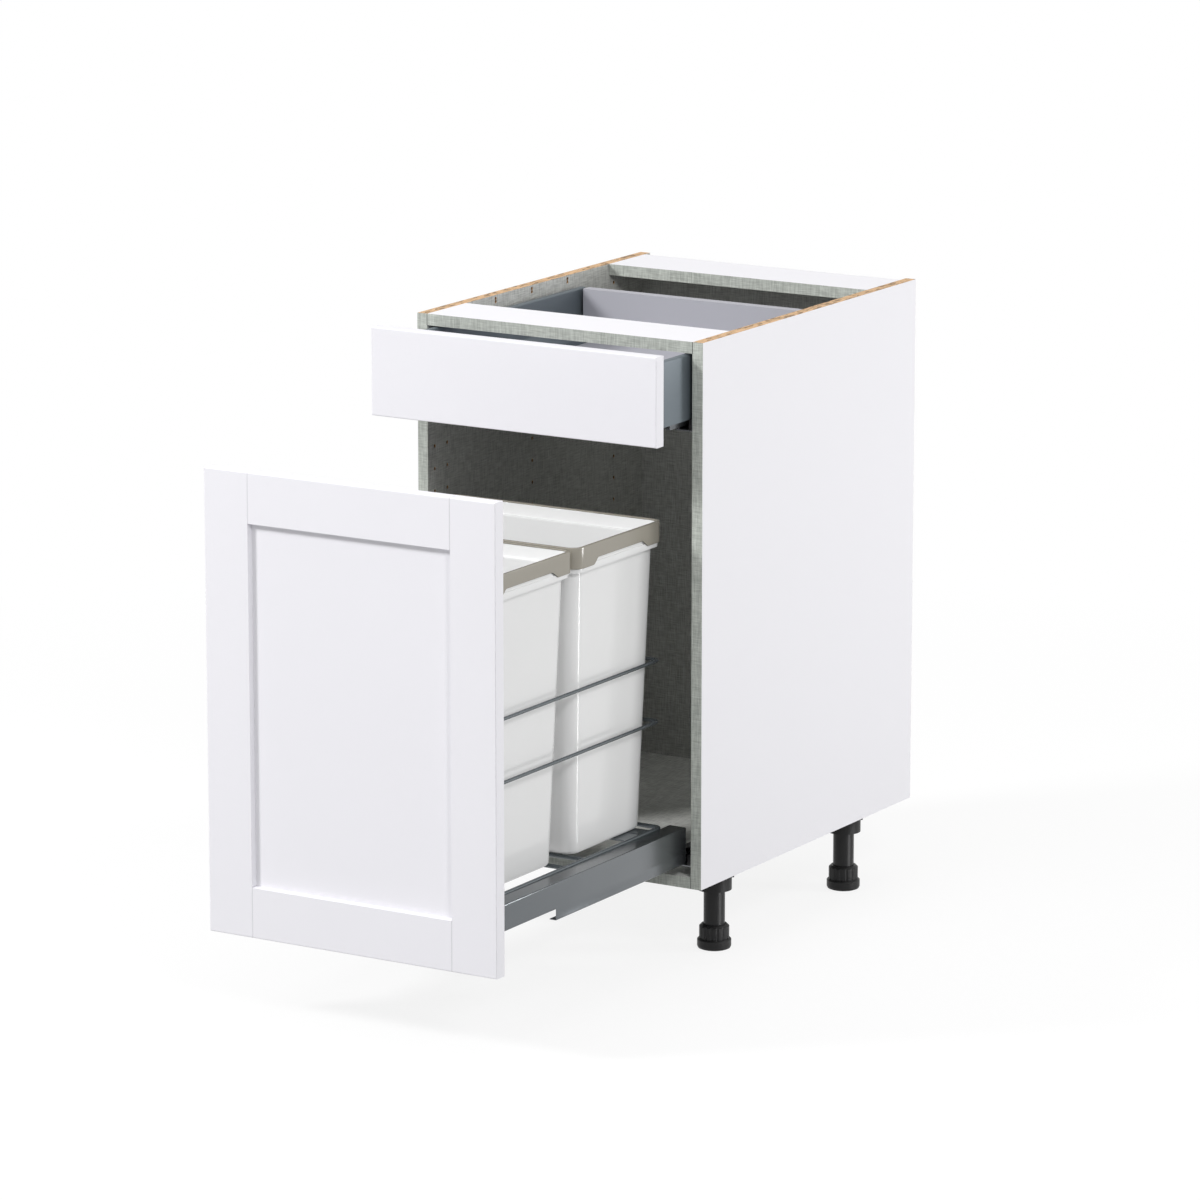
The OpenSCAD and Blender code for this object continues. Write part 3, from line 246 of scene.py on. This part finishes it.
def seam_at(add, place_x):
    """Is 1 within a hairline of an X place on either side of the middle; and the height there."""
    axis = add("ShaderNodeSeparateXYZ", None, {"Vector": place(add)})
    beside = calculate(add, "ABSOLUTE", axis.outputs["X"])
    offset = calculate(add, "ABSOLUTE", calculate(add, "SUBTRACT", beside, place_x))
    return calculate(add, "LESS_THAN", offset, SEAM_WIDTH / 2), axis.outputs["Z"]


def board_seams(add):
    """Is 1 on a band where a side meets the bottom or the front rail."""
    seam, height = seam_at(add, INNER_FACE_X)
    below = calculate(add, "LESS_THAN", height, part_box("bottom_panel")[1].z)
    above = calculate(add, "GREATER_THAN", height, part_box("front_top_rail")[0].z)
    return calculate(add, "MULTIPLY", seam, calculate(add, "MAXIMUM", below, above))


def linen_board(name, colour, lying=False, seams=None):
    material, add, wire = new_finish(name, colour, 0.55)
    cloth, weave = linen_colour(add, colour, lying)
    if seams:
        cloth = tint(add, cloth, shade(colour, 0.22), seams(add))
    wire(cloth, "Base Color")
    wire(ramp(add, weave, 0.42, 0.58), "Roughness")
    wire(bump(add, weave, 0.3, 0.0004), "Normal")
    return material


dress(linen_board("linen_board", LINEN_GREY), "back_panel")
# The bottom's linen is painted 1.45 times lighter than the other boards': painted light on it.
dress(linen_board("linen_bottom_painted_light", shade(LINEN_GREY, 1.45), lying=True), "bottom_panel")
dress(linen_board("linen_edge_band", (0.45, 0.474, 0.436), seams=board_seams), "edge_bands")


# Top rails. Two flat boards between the tops of the sides, white on both faces.
def white_board(name, colour, roughness):
    material, add, wire = new_finish(name, colour, roughness)
    pearl = noise(add, (1, 1, 1), 600.0, 3.0)
    wire(tint(add, shade(colour, 0.98), shade(colour, 1.01), pearl), "Base Color")
    wire(ramp(add, pearl, roughness - 0.04, roughness + 0.06), "Roughness")
    wire(bump(add, pearl, 0.06, 0.0003), "Normal")
    return material


dress(white_board("white_rail_board", BOARD_WHITE, 0.45), "front_top_rail", "rear_top_rail")


# Dowels. Turned beech pegs glued into the sides, rails and bottom. Only their ends could ever show.
def beech(name, colour):
    material, add, wire = new_finish(name, colour, 0.6)
    grain = noise(add, (20, 900, 900), 1.0, 4.0)
    wire(tint(add, shade(colour, 0.8), shade(colour, 1.1), grain), "Base Color")
    wire(bump(add, grain, 0.2, 0.0003), "Normal")
    return material


dress(beech("beech_dowels", (0.62, 0.44, 0.27)), "carcass_dowels")


# Legs. Each has a moulded socket screwed under the bottom, a smooth tube pushed up into it and a
# foot that screws out of the tube. All are black plastic with a light satin gloss.
def black_plastic(name, roughness, grain):
    colour = (0.0105, 0.0105, 0.011)
    material, add, wire = new_finish(name, colour, roughness)
    spots = noise(add, (1, 1, 1), grain, 3.0)
    wire(tint(add, shade(colour, 0.85), shade(colour, 1.2), spots), "Base Color")
    wire(ramp(add, spots, roughness - 0.06, roughness + 0.1), "Roughness")
    wire(bump(add, spots, 0.12, 0.0002), "Normal")
    shader = material.node_tree.nodes["Principled BSDF"]
    shader.inputs["Specular IOR Level"].default_value = 0.24
    return material


dress(black_plastic("black_socket_plastic", 0.42, 1600.0), "leg_sockets")
dress(black_plastic("black_tube_plastic", 0.3, 900.0), "leg_tubes")
dress(
    black_plastic("black_foot_plastic", 0.38, 1600.0),
    "foot_front_left",
    "foot_front_right",
    "foot_rear_left",
    "foot_rear_right",
)
dress(black_plastic("black_guide_plastic", 0.4, 1600.0), "runner_front_guides", "pullout_end_caps")


# Runners, brackets and fixings. Rolled and pressed steel: the runners dark grey, the brackets
# zinc-coated, and zinc screws and rivets. The runners are screwed to the sides, and their slides
# carry the drawer and the pull-out.
def zinc_steel(name, colour, roughness):
    material, add, wire = new_finish(name, colour, roughness, 1.0)
    rolled = noise(add, (900, 12, 900), 1.0, 3.0)
    cloud = noise(add, (1, 1, 1), 60.0, 3.0)
    wire(tint(add, shade(colour, 0.86), shade(colour, 1.08), cloud), "Base Color")
    wire(ramp(add, rolled, roughness - 0.08, roughness + 0.12), "Roughness")
    wire(bump(add, rolled, 0.08, 0.0002), "Normal")
    return material


dress(
    zinc_steel("dark_runner_steel", (0.17, 0.178, 0.19), 0.4),
    "pullout_runner_left",
    "pullout_runner_right",
    "drawer_runner_left",
    "drawer_runner_right",
    "pullout_mid_left",
    "pullout_mid_right",
    "drawer_mid_left",
    "drawer_mid_right",
    "pullout_slide_left",
    "pullout_slide_right",
    "drawer_slide_left",
    "drawer_slide_right",
)
dress(
    zinc_steel("zinc_fixings", (0.56, 0.56, 0.57), 0.32),
    "leg_screws",
    "runner_screws",
    "door_screws",
    "drawer_screws",
    "rack_rivets",
    "pullout_front_brackets",
    "drawer_front_brackets",
    "drawer_back_holders",
)


# Glides. Small blocks of off-white nylon in the middle members of the runners.
def nylon(name, colour):
    material, add, wire = new_finish(name, colour, 0.45)
    cloud = noise(add, (1, 1, 1), 300.0, 2.0)
    wire(tint(add, shade(colour, 0.94), shade(colour, 1.03), cloud), "Base Color")
    wire(bump(add, cloud, 0.05, 0.0002), "Normal")
    return material


dress(nylon("glide_nylon", (0.72, 0.71, 0.66)), "pullout_mid_glides", "drawer_mid_glides")


# Door. Five pieces of lacquered board: two full-height stiles, two rails between them and a flat
# panel held in their grooves. The frame's inner edges step down to the panel, and a hairline shows
# in the lacquer where a rail meets a stile.
def white_lacquer(name, colour, roughness, seam_x=None):
    """Sprayed lacquer, with a hairline at an X place where one is given."""
    material, add, wire = new_finish(name, colour, roughness)
    peel = noise(add, (1, 1, 1), 420.0, 2.0)
    cloud = noise(add, (1, 1, 1), 5.0, 2.0)
    coat = tint(add, shade(colour, 0.985), shade(colour, 1.012), cloud)
    if seam_x:
        coat = tint(add, coat, shade(colour, 0.8), seam_at(add, seam_x)[0])
    wire(coat, "Base Color")
    wire(ramp(add, peel, roughness - 0.03, roughness + 0.05), "Roughness")
    wire(bump(add, peel, 0.05, 0.0003), "Normal")
    return material


FRONT_WHITE = (0.82, 0.813, 0.852)
FRAME_FACE_WIDTH = 0.069
dress(
    white_lacquer("white_front_lacquer", FRONT_WHITE, 0.4),
    "door_stile_left",
    "door_stile_right",
    "door_panel",
    "drawer_front",
)
rail_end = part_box("door_stile_right")[1].x - FRAME_FACE_WIDTH - SEAM_WIDTH / 2
dress(
    white_lacquer("white_rail_lacquer", FRONT_WHITE, 0.4, rail_end),
    "door_rail_top",
    "door_rail_bottom",
)


# Pull-out sides. Each is one strip of steel sheet, bent into a closed box with a shelf on the slide
# and a lip turned in at the foot, with a notch at the front. It has a smooth grey metallic coat.
SHEET = 0.0012
BEND = 0.0009
BESIDE_TURN = 0.0006
BROKEN_EDGE = 0.0003
LIP_WIDTH = 0.011
NOTCH_LENGTH = 0.163
PULLOUT_NOTCH_HEIGHT = 0.0167
SHELF_RISE = 0.0222
SHELF_REACH = 0.0212


def grey_coat(name, colour, roughness, metallic):
    material, add, wire = new_finish(name, colour, roughness, metallic)
    sparkle = noise(add, (1, 1, 1), 2400.0, 2.0)
    cloud = noise(add, (1, 1, 1), 14.0, 3.0)
    even = tint(add, shade(colour, 0.95), shade(colour, 1.04), cloud)
    wire(tint(add, even, shade(colour, 1.12), ramp(add, sparkle, 0, 0.5, 0.5, 0.8)), "Base Color")
    wire(ramp(add, sparkle, roughness - 0.05, roughness + 0.07), "Roughness")
    wire(bump(add, sparkle, 0.05, 0.0001), "Normal")
    return material


def rounded_path(corners, radius, steps=4):
    """Flat path through corners that turns each one with a radius, with a point beside each turn."""
    path = [Vector(corners[0])]
    for before, here, after in zip(corners, corners[1:], corners[2:]):
        here = Vector(here)
        back = (Vector(before) - here).normalized()
        on = (Vector(after) - here).normalized()
        half = back.angle(on) / 2
        start = here + back * radius / math.tan(half)
        end = here + on * radius / math.tan(half)
        centre = here + (back + on).normalized() * radius / math.sin(half)
        path.append(start + BESIDE_TURN * back)
        for i in range(steps + 1):
            path.append(centre + radius * (start - centre).slerp(end - centre, i / steps))
        path.append(end + BESIDE_TURN * on)
    path.append(Vector(corners[-1]))
    return path


def settle(piece, sharp):
    """Turns the modifiers into mesh and shades it smooth up to an angle."""
    shaped = piece.evaluated_get(bpy.context.evaluated_depsgraph_get())
    mesh = bpy.data.meshes.new_from_object(shaped)
    piece.modifiers.clear()
    piece.data = mesh
    mesh.shade_smooth()
    mesh.set_sharp_from_angle(angle=math.radians(sharp))


def stand_for(piece, node, body):
    """Shows a piece instead of a CAD node, on its body."""
    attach(piece, body)
    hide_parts(node)


def bent_sheet(name, side, strips, material):
    """Sheet of equal thickness bent along X and Z, from strips of a path and places along Y."""
    work = bmesh.new()
    for path, places in strips:
        grid = [[work.verts.new((side * x, y, z)) for x, z in path] for y in places]
        for row, next_row in zip(grid, grid[1:]):
            for i in range(len(path) - 1):
                work.faces.new((row[i], row[i + 1], next_row[i + 1], next_row[i]))
    bmesh.ops.remove_doubles(work, verts=work.verts, dist=1e-6)
    mesh = bpy.data.meshes.new(name)
    work.to_mesh(mesh)
    work.free()
    mesh.materials.append(material)
    piece = bpy.data.objects.new(name, mesh)
    bpy.context.scene.collection.objects.link(piece)
    wall = piece.modifiers.new("wall", "SOLIDIFY")
    wall.thickness = SHEET
    wall.offset = 0.0
    wall.use_even_offset = True
    edge = piece.modifiers.new("edge", "BEVEL")
    edge.width = BROKEN_EDGE
    edge.segments = 2
    edge.limit_method = "ANGLE"
    edge.angle_limit = math.radians(60.0)
    settle(piece, 40.0)
    return piece


def side_strips(low, high, notch_height):
    """Lip and skin of a side up to the top of its notch: paths, and where the rest begins."""
    skin_x, front, rear = high.x - SHEET / 2, low.y, high.y
    foot = low.z + SHEET / 2
    turn = low.z + notch_height
    lip = rounded_path([(high.x - LIP_WIDTH, foot), (skin_x, foot), (skin_x, turn)], BEND)
    return (lip, (front + NOTCH_LENGTH, rear)), (skin_x, turn), (front, front + NOTCH_LENGTH, rear)


def pullout_sheet(name, node, side):
    low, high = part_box("pullout_side_right")
    lip, skin, places = side_strips(low, high, PULLOUT_NOTCH_HEIGHT)
    wall_x = low.x + SHEET / 2
    shelf_z = low.z + SHELF_RISE
    top = high.z - SHEET / 2
    box = [skin, (skin[0], top), (wall_x, top), (wall_x, shelf_z), (wall_x + SHELF_REACH, shelf_z)]
    strips = (lip, (rounded_path(box, BEND), places))
    piece = bent_sheet(name, side, strips, SIDE_COAT)
    stand_for(piece, node, "pullout")


SIDE_COAT = grey_coat("grey_side_coat", (0.156, 0.168, 0.178), 0.2, 0.85)
pullout_sheet("pullout_sheet_left", "pullout_side_left", -1)
pullout_sheet("pullout_sheet_right", "pullout_side_right", 1)


# Bin rack and galleries. Welded round wire and flat bars with a darker coat of the same kind. The
# rack hangs between the sides and carries the bins, and the galleries run from the door round them.
dress(
    grey_coat("grey_wire_coat", (0.105, 0.12, 0.13), 0.24, 0.5),
    "bin_rack",
    "upper_gallery",
    "lower_gallery",
    "gallery_brackets",
    "gallery_uprights",
)


# Bins. Two equal tapered bins of thick white plastic that stand on the rack. Each has a stepped
# rim, on which a thin taupe ring sits and holds the bag.
BIN_CORNER = 0.018
BESIDE_CORNER = 0.0015
LIP_DROP = 0.035
LEDGE_DROP = 0.019
RIM_DROP = 0.0023
TOP_INSET = 0.0087
WALL_TAPER = 0.0129
MID_WALL_RISE = 0.2
LIP_FILLET = 0.002


def bin_plastic(name, colour, roughness):
    material, add, wire = new_finish(name, colour, roughness)
    cloud = noise(add, (1, 1, 1), 8.0, 2.0)
    fine = noise(add, (1, 1, 1), 1500.0, 2.0)
    wire(tint(add, shade(colour, 0.985), shade(colour, 1.01), cloud), "Base Color")
    wire(ramp(add, fine, roughness - 0.03, roughness + 0.04), "Roughness")
    wire(bump(add, fine, 0.06, 0.0002), "Normal")
    return material


def rounded_loop(half_x, half_y, radius, stations=(), steps=9):
    """Level rounded rectangle about the origin, with a point beside each corner and at stations."""
    loop = []
    for quarter, (sign_x, sign_y) in enumerate(((1, -1), (1, 1), (-1, 1), (-1, -1))):
        turns = [(0, -BESIDE_CORNER)] + [(i / steps, 0.0) for i in range(steps + 1)]
        for share, ahead in turns + [(1, BESIDE_CORNER)]:
            turn = math.radians(90.0 * (quarter - 1 + share))
            x = sign_x * (half_x - radius) + radius * math.cos(turn) - ahead * math.sin(turn)
            y = sign_y * (half_y - radius) + radius * math.sin(turn) + ahead * math.cos(turn)
            loop.append((x, y))
        if quarter == 0:
            loop += [(half_x, y) for y in stations]
        if quarter == 2:
            loop += [(-half_x, y) for y in reversed(stations)]
    return loop


def quarter_turn(steps=4):
    """Angles from 0 to 90 degrees in even steps, in radians."""
    return [math.radians(90.0 * i / steps) for i in range(steps + 1)]


def skin(loops, closed):
    """Faces of a skin over loops of equal length, closed on itself or with a flat end at each end."""
    count, rows = len(loops[0]), len(loops)
    faces = []
    for k in range(rows if closed else rows - 1):
        here, above = k * count, (k + 1) % rows * count
        for i in range(count):
            j = (i + 1) % count
            faces.append((here + i, here + j, above + j, above + i))
    if not closed:
        faces.append(tuple(reversed(range(count))))
        faces.append(tuple((rows - 1) * count + i for i in range(count)))
    return faces


def moulding(name, loops, closed, material):
    """Links a new piece whose skin runs over the loops."""
    mesh = bpy.data.meshes.new(name)
    mesh.from_pydata([point for loop in loops for point in loop], [], skin(loops, closed))
    mesh.materials.append(material)
    piece = bpy.data.objects.new(name, mesh)
    bpy.context.scene.collection.objects.link(piece)
    settle(piece, 38.0)
    return piece


def bin_profile(base, top):
    """Inset from the ring's face and height: up the outside, over the rim and down the inside."""
    lip = top - LIP_DROP
    ledge = top - LEDGE_DROP
    rim = top - RIM_DROP
    collar, wall, foot, floor = 0.0031, 0.002, 0.005, 0.0025

    def body(z):
        return TOP_INSET + WALL_TAPER * (lip - z) / (lip - base)

    def round_foot(extra, z):
        return [
            (body(z) + extra + foot * (1 - math.sin(a)), z + foot * (1 - math.cos(a)))
            for a in quarter_turn()
        ]

    def inner(z):
        return body(z) + wall

    outside = round_foot(0.0, base)
    above_foot = base + foot + BESIDE_CORNER
    mid_wall = base + MID_WALL_RISE
    outside += [(body(z), z) for z in (above_foot, mid_wall, lip - 0.0045, lip - 0.003)]
    outside += [
        (body(lip) - LIP_FILLET * (1 - math.cos(a)), lip - LIP_FILLET * (1 - math.sin(a)))
        for a in quarter_turn()
    ]
    outside += [(0.0027, lip), (0.0021, lip + 0.0002), (0.0019, lip + 0.0008)]
    outside += [(0.0019, lip + 0.009), (0.0022, lip + 0.0094), (collar, lip + 0.0095)]
    over = [(collar, rim - 0.0008), (collar + 0.0003, rim - 0.0002), (collar + 0.001, rim)]
    over += [(collar + 0.0017, rim - 0.0002), (collar + wall, rim - 0.0008)]
    inside = [(collar + wall, ledge + 0.002), (collar + wall + 0.0006, ledge + 0.0006)]
    inside += [(collar + wall + 0.002, ledge), (inner(ledge) - 0.001, ledge)]
    inside += [(inner(ledge) - 0.0003, ledge - 0.0003), (inner(ledge), ledge - 0.0012)]
    inside += [(inner(z), z) for z in (ledge - 0.0024, mid_wall, above_foot + floor)]
    return outside + over + inside + list(reversed(round_foot(wall, base + floor)))


def bin_moulding(name, node, ring_node, body, material):
    middle, half = middle_and_half(ring_node)
    loops = []
    for inset, z in bin_profile(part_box(node)[0].z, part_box(ring_node)[1].z):
        loop = rounded_loop(half.x - inset, half.y - inset, BIN_CORNER)
        loops.append([(middle.x + x, middle.y + y, z) for x, y in loop])
    stand_for(moulding(name, loops, False, material), node, body)


WHITE_PLASTIC = bin_plastic("white_bin_plastic", (0.795, 0.797, 0.795), 0.12)
bin_moulding("front_bin_moulding", "front_bin", "front_bin_ring", "front_bin", WHITE_PLASTIC)
bin_moulding("rear_bin_moulding", "rear_bin", "rear_bin_ring", "rear_bin", WHITE_PLASTIC)


# Bag rings. A thin taupe collar sits on each bin's rim, with a narrow top and a shallow cut-out in
# the lower edge of both long faces: an easy curve at its front end, a straight slant at its rear.
CUT_HALF = 0.0705
CUT_SLANT = 0.014
CUT_HEIGHT = 0.009
CUT_STEPS = 6


def cut_height(y):
    """How far the ring's lower edge is raised at a place along it."""
    if abs(y) >= CUT_HALF:
        return 0.0
    front = min(1.0, (y + CUT_HALF) / CUT_SLANT)
    rear = min(1.0, (CUT_HALF - y) / CUT_SLANT)
    return CUT_HEIGHT * min(front * front * (3 - 2 * front), rear)


def ring_moulding(name, node, body, material):
    middle, half = middle_and_half(node)
    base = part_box(node)[0].z
    wall, flange, thick = 0.0015, 0.0056, 0.002
    tall = 2 * half.z
    edge = [(0.0004, 0.0), (0.0, 0.0004)]
    over = [(0.0, tall - 0.0012), (0.0003, tall - 0.0004), (0.0012, tall)]
    over += [(flange - 0.0008, tall), (flange - 0.0002, tall - 0.0002), (flange, tall - 0.0008)]
    under = [(flange, tall - thick + 0.0003), (flange - 0.0003, tall - thick)]
    under += [(wall + 0.0006, tall - thick), (wall, tall - thick - 0.0006)]
    foot = [(wall, 0.0004), (wall - 0.0004, 0.0)]
    stations = [CUT_SLANT * i / CUT_STEPS - CUT_HALF for i in range(CUT_STEPS + 1)]
    stations += [0.0, CUT_HALF - CUT_SLANT, CUT_HALF]
    loops = []
    for part, follows in ((edge, True), (over, False), (under, False), (foot, True)):
        for inset, rise in part:
            loop = []
            around = rounded_loop(half.x - inset, half.y - inset, BIN_CORNER - inset, stations)
            for x, y in around:
                raised = cut_height(y) if follows and abs(x) > half.x - thick else 0.0
                loop.append((middle.x + x, middle.y + y, base + rise + raised))
            loops.append(loop)
    stand_for(moulding(name, loops, True, material), node, body)


TAUPE_PLASTIC = bin_plastic("taupe_ring_plastic", (0.303, 0.283, 0.238), 0.18)
ring_moulding("front_ring_moulding", "front_bin_ring", "front_ring", TAUPE_PLASTIC)
ring_moulding("rear_ring_moulding", "rear_bin_ring", "rear_ring", TAUPE_PLASTIC)


# Drawer. Bent steel sides with a blue-grey coat, and a faced floor board and back board. Below its
# narrow top, each side slopes in to a wide foot, which ends in a ledge under the floor board.
DRAWER_NOTCH_HEIGHT = 0.0115
FOOT_WIDTH = 0.0268
TOP_WIDTH = 0.01
SLOPE_TOP_RISE = 0.0505
SLOPE_FOOT_RISE = 0.0337
LEDGE_RISE = 0.0091


def drawer_sheet(name, node, side):
    low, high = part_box("drawer_side_right")
    lip, skin, places = side_strips(low, high, DRAWER_NOTCH_HEIGHT)
    foot_x = high.x - FOOT_WIDTH + SHEET / 2
    inner_x = high.x - TOP_WIDTH + SHEET / 2
    ledge_z = low.z + LEDGE_RISE
    top = high.z - SHEET / 2
    shelf_z = low.z + SHELF_RISE
    wall = [skin, (skin[0], top), (inner_x, top), (inner_x, low.z + SLOPE_TOP_RISE)]
    wall += [(foot_x, low.z + SLOPE_FOOT_RISE), (foot_x, ledge_z), (low.x, ledge_z)]
    shelf = [Vector((foot_x, shelf_z)), Vector((foot_x + SHELF_REACH, shelf_z))]
    strips = (lip, (rounded_path(wall, 2 * BEND), places), (shelf, (places[0], places[-1])))
    stand_for(bent_sheet(name, side, strips, DRAWER_COAT), node, "drawer")


DRAWER_COAT = grey_coat("blue_grey_coat", (0.14, 0.166, 0.186), 0.5, 0.35)
drawer_sheet("drawer_sheet_left", "drawer_side_left", -1)
drawer_sheet("drawer_sheet_right", "drawer_side_right", 1)
# Floor and back are a light grey, partly their own tone and partly painted shade from the rail above.
dress(white_board("drawer_board", (0.4, 0.4, 0.44), 0.5), "drawer_floor", "drawer_back")


# Studio. A wide pale floor, a soft white surround, four large lamps and three narrow strips, which
# show only as thin bright lines in the glossy corner of the rear bin and in the right-hand legs.
FLOOR_HALF = 20.0
FLOOR_TILES = 8
LEG_MIDDLE_Z = 0.048


def seen_directly(add):
    """Is 1 for camera, glossy and transmission rays, which find a plain white surround."""
    path = add("ShaderNodeLightPath")
    seen = calculate(add, "MAXIMUM", path.outputs["Is Camera Ray"], path.outputs["Is Glossy Ray"])
    return calculate(add, "MAXIMUM", seen, path.outputs["Is Transmission Ray"])


def studio_floor():
    lines = [FLOOR_HALF * (2 * i / FLOOR_TILES - 1) for i in range(FLOOR_TILES + 1)]
    points = [(x, y, 0.0) for y in lines for x in lines]
    row = FLOOR_TILES + 1
    firsts = [j * row + i for j in range(FLOOR_TILES) for i in range(FLOOR_TILES)]
    mesh = bpy.data.meshes.new("studio_floor")
    mesh.from_pydata(points, [], [(k, k + 1, k + row + 1, k + row) for k in firsts])
    floor = bpy.data.objects.new("studio_floor", mesh)
    bpy.context.scene.collection.objects.link(floor)
    material, add, wire = new_finish("studio_floor", (0.38, 0.38, 0.38), 0.9)
    seen = seen_directly(add)
    cloud = noise(add, (1, 1, 1), 3.0, 2.0)
    grey = tint(add, (0.37, 0.37, 0.37), (0.39, 0.39, 0.39), cloud)
    wire(tint(add, grey, (0.98, 0.98, 0.98), seen), "Base Color")
    reach = add("ShaderNodeVectorMath", None, {0: place(add)}, operation="LENGTH").outputs["Value"]
    part = calculate(add, "MULTIPLY", seen, ramp(add, reach, 0.84, 1.0, 1.0, 2.4))
    glow = add("ShaderNodeEmission", {"Color": (1, 1, 1, 1), "Strength": 1.0})
    tree = material.node_tree
    plain = tree.nodes["Principled BSDF"]
    mix = add("ShaderNodeMixShader", None, {0: part, 1: plain.outputs[0], 2: glow.outputs[0]})
    tree.links.new(mix.outputs[0], tree.nodes["Material Output"].inputs["Surface"])
    mesh.materials.append(material)


def studio_world(strength):
    world = bpy.data.worlds.new("studio_white")
    bpy.context.scene.world = world
    world.use_nodes = True
    tree = world.node_tree
    add = adder(tree)
    back = tree.nodes["Background"]
    back.inputs["Color"].default_value = (1, 1, 1, 1)
    tree.links.new(ramp(add, seen_directly(add), strength, 1.0), back.inputs["Strength"])


def lamp(name, place_at, aim_at, size, power):
    """Round area lamp at a place, turned to another place."""
    data = bpy.data.lights.new(name, "AREA")
    data.shape = "DISK"
    data.size = size
    data.energy = power
    light = bpy.data.objects.new(name, data)
    light.location = place_at
    light.rotation_euler = (Vector(aim_at) - Vector(place_at)).to_track_quat("-Z", "Y").to_euler()
    bpy.context.scene.collection.objects.link(light)


def lamp_from(name, azimuth, height, distance, size, power):
    """A lamp round the cabinet: degrees to the right of its front, and degrees above it."""
    turn, rise = math.radians(azimuth), math.radians(height)
    aim = Vector((0.0, -0.3, 0.45))
    way = Vector((math.sin(turn) * math.cos(rise), -math.cos(turn) * math.cos(rise), math.sin(rise)))
    lamp(name, aim + distance * way, aim, size, power)


def strip_lamp(name, place_at, aim_at, width, height, power, spread):
    """Upright strip that shows only in gloss, with its light held within a cone in degrees."""
    lamp(name, place_at, aim_at, width, power)
    light = bpy.data.objects[name]
    light.data.shape = "RECTANGLE"
    light.data.size_y = height
    light.data.spread = math.radians(spread)
    light.visible_camera = False
    light.visible_diffuse = False


studio_floor()
studio_world(0.46)
lamp_from("upper_left_lamp", -45.0, 35.0, 5.2, 1.1, 186.0)
lamp_from("upper_right_lamp", 54.0, 35.0, 5.2, 1.1, 78.0)
lamp("right_lamp", (2.8, 1.7, 0.9), (0.22, 0.25, 0.45), 1.0, 37.0)
bin_corner = Vector((0.16, -0.262, 0.37))
beside_bin = bin_corner + Vector((0.4415, 0.2347, -0.137))
strip_lamp("corner_strip", beside_bin, bin_corner, 0.06, 0.45, 0.023, 24.0)
for node in ("foot_front_right", "foot_rear_right"):
    middle = middle_and_half(node)[0]
    leg = Vector((middle.x, middle.y, LEG_MIDDLE_Z))
    strip_lamp(node + "_strip", leg + Vector((0.115, 0.005, 0.0)), leg, 0.06, 0.085, 0.012, 40.0)
lamp("overhead_lamp", (0.0, -0.2, 4.2), (0.0, -0.2, 0.8), 2.6, 22.0)


# Camera. It stands far off to the right of the front and looks a little down, with a long lens.
PHOTO_WIDTH = 1200.0
FOCAL_LENGTH = 6200.0
SENSOR_WIDTH = 36.0


def photo_camera():
    data = bpy.data.cameras.new("photo_camera")
    data.sensor_width = SENSOR_WIDTH
    data.lens = SENSOR_WIDTH * FOCAL_LENGTH / PHOTO_WIDTH
    data.clip_end = 60.0
    camera = bpy.data.objects.new("photo_camera", data)
    camera.location = (4.3784, -7.1225, 2.3614)
    camera.rotation_euler = (math.radians(90.0 - 12.627), 0.0, math.radians(31.329))
    bpy.context.scene.collection.objects.link(camera)
    bpy.context.scene.camera = camera


photo_camera()
bpy.context.scene.view_settings.view_transform = "Standard"
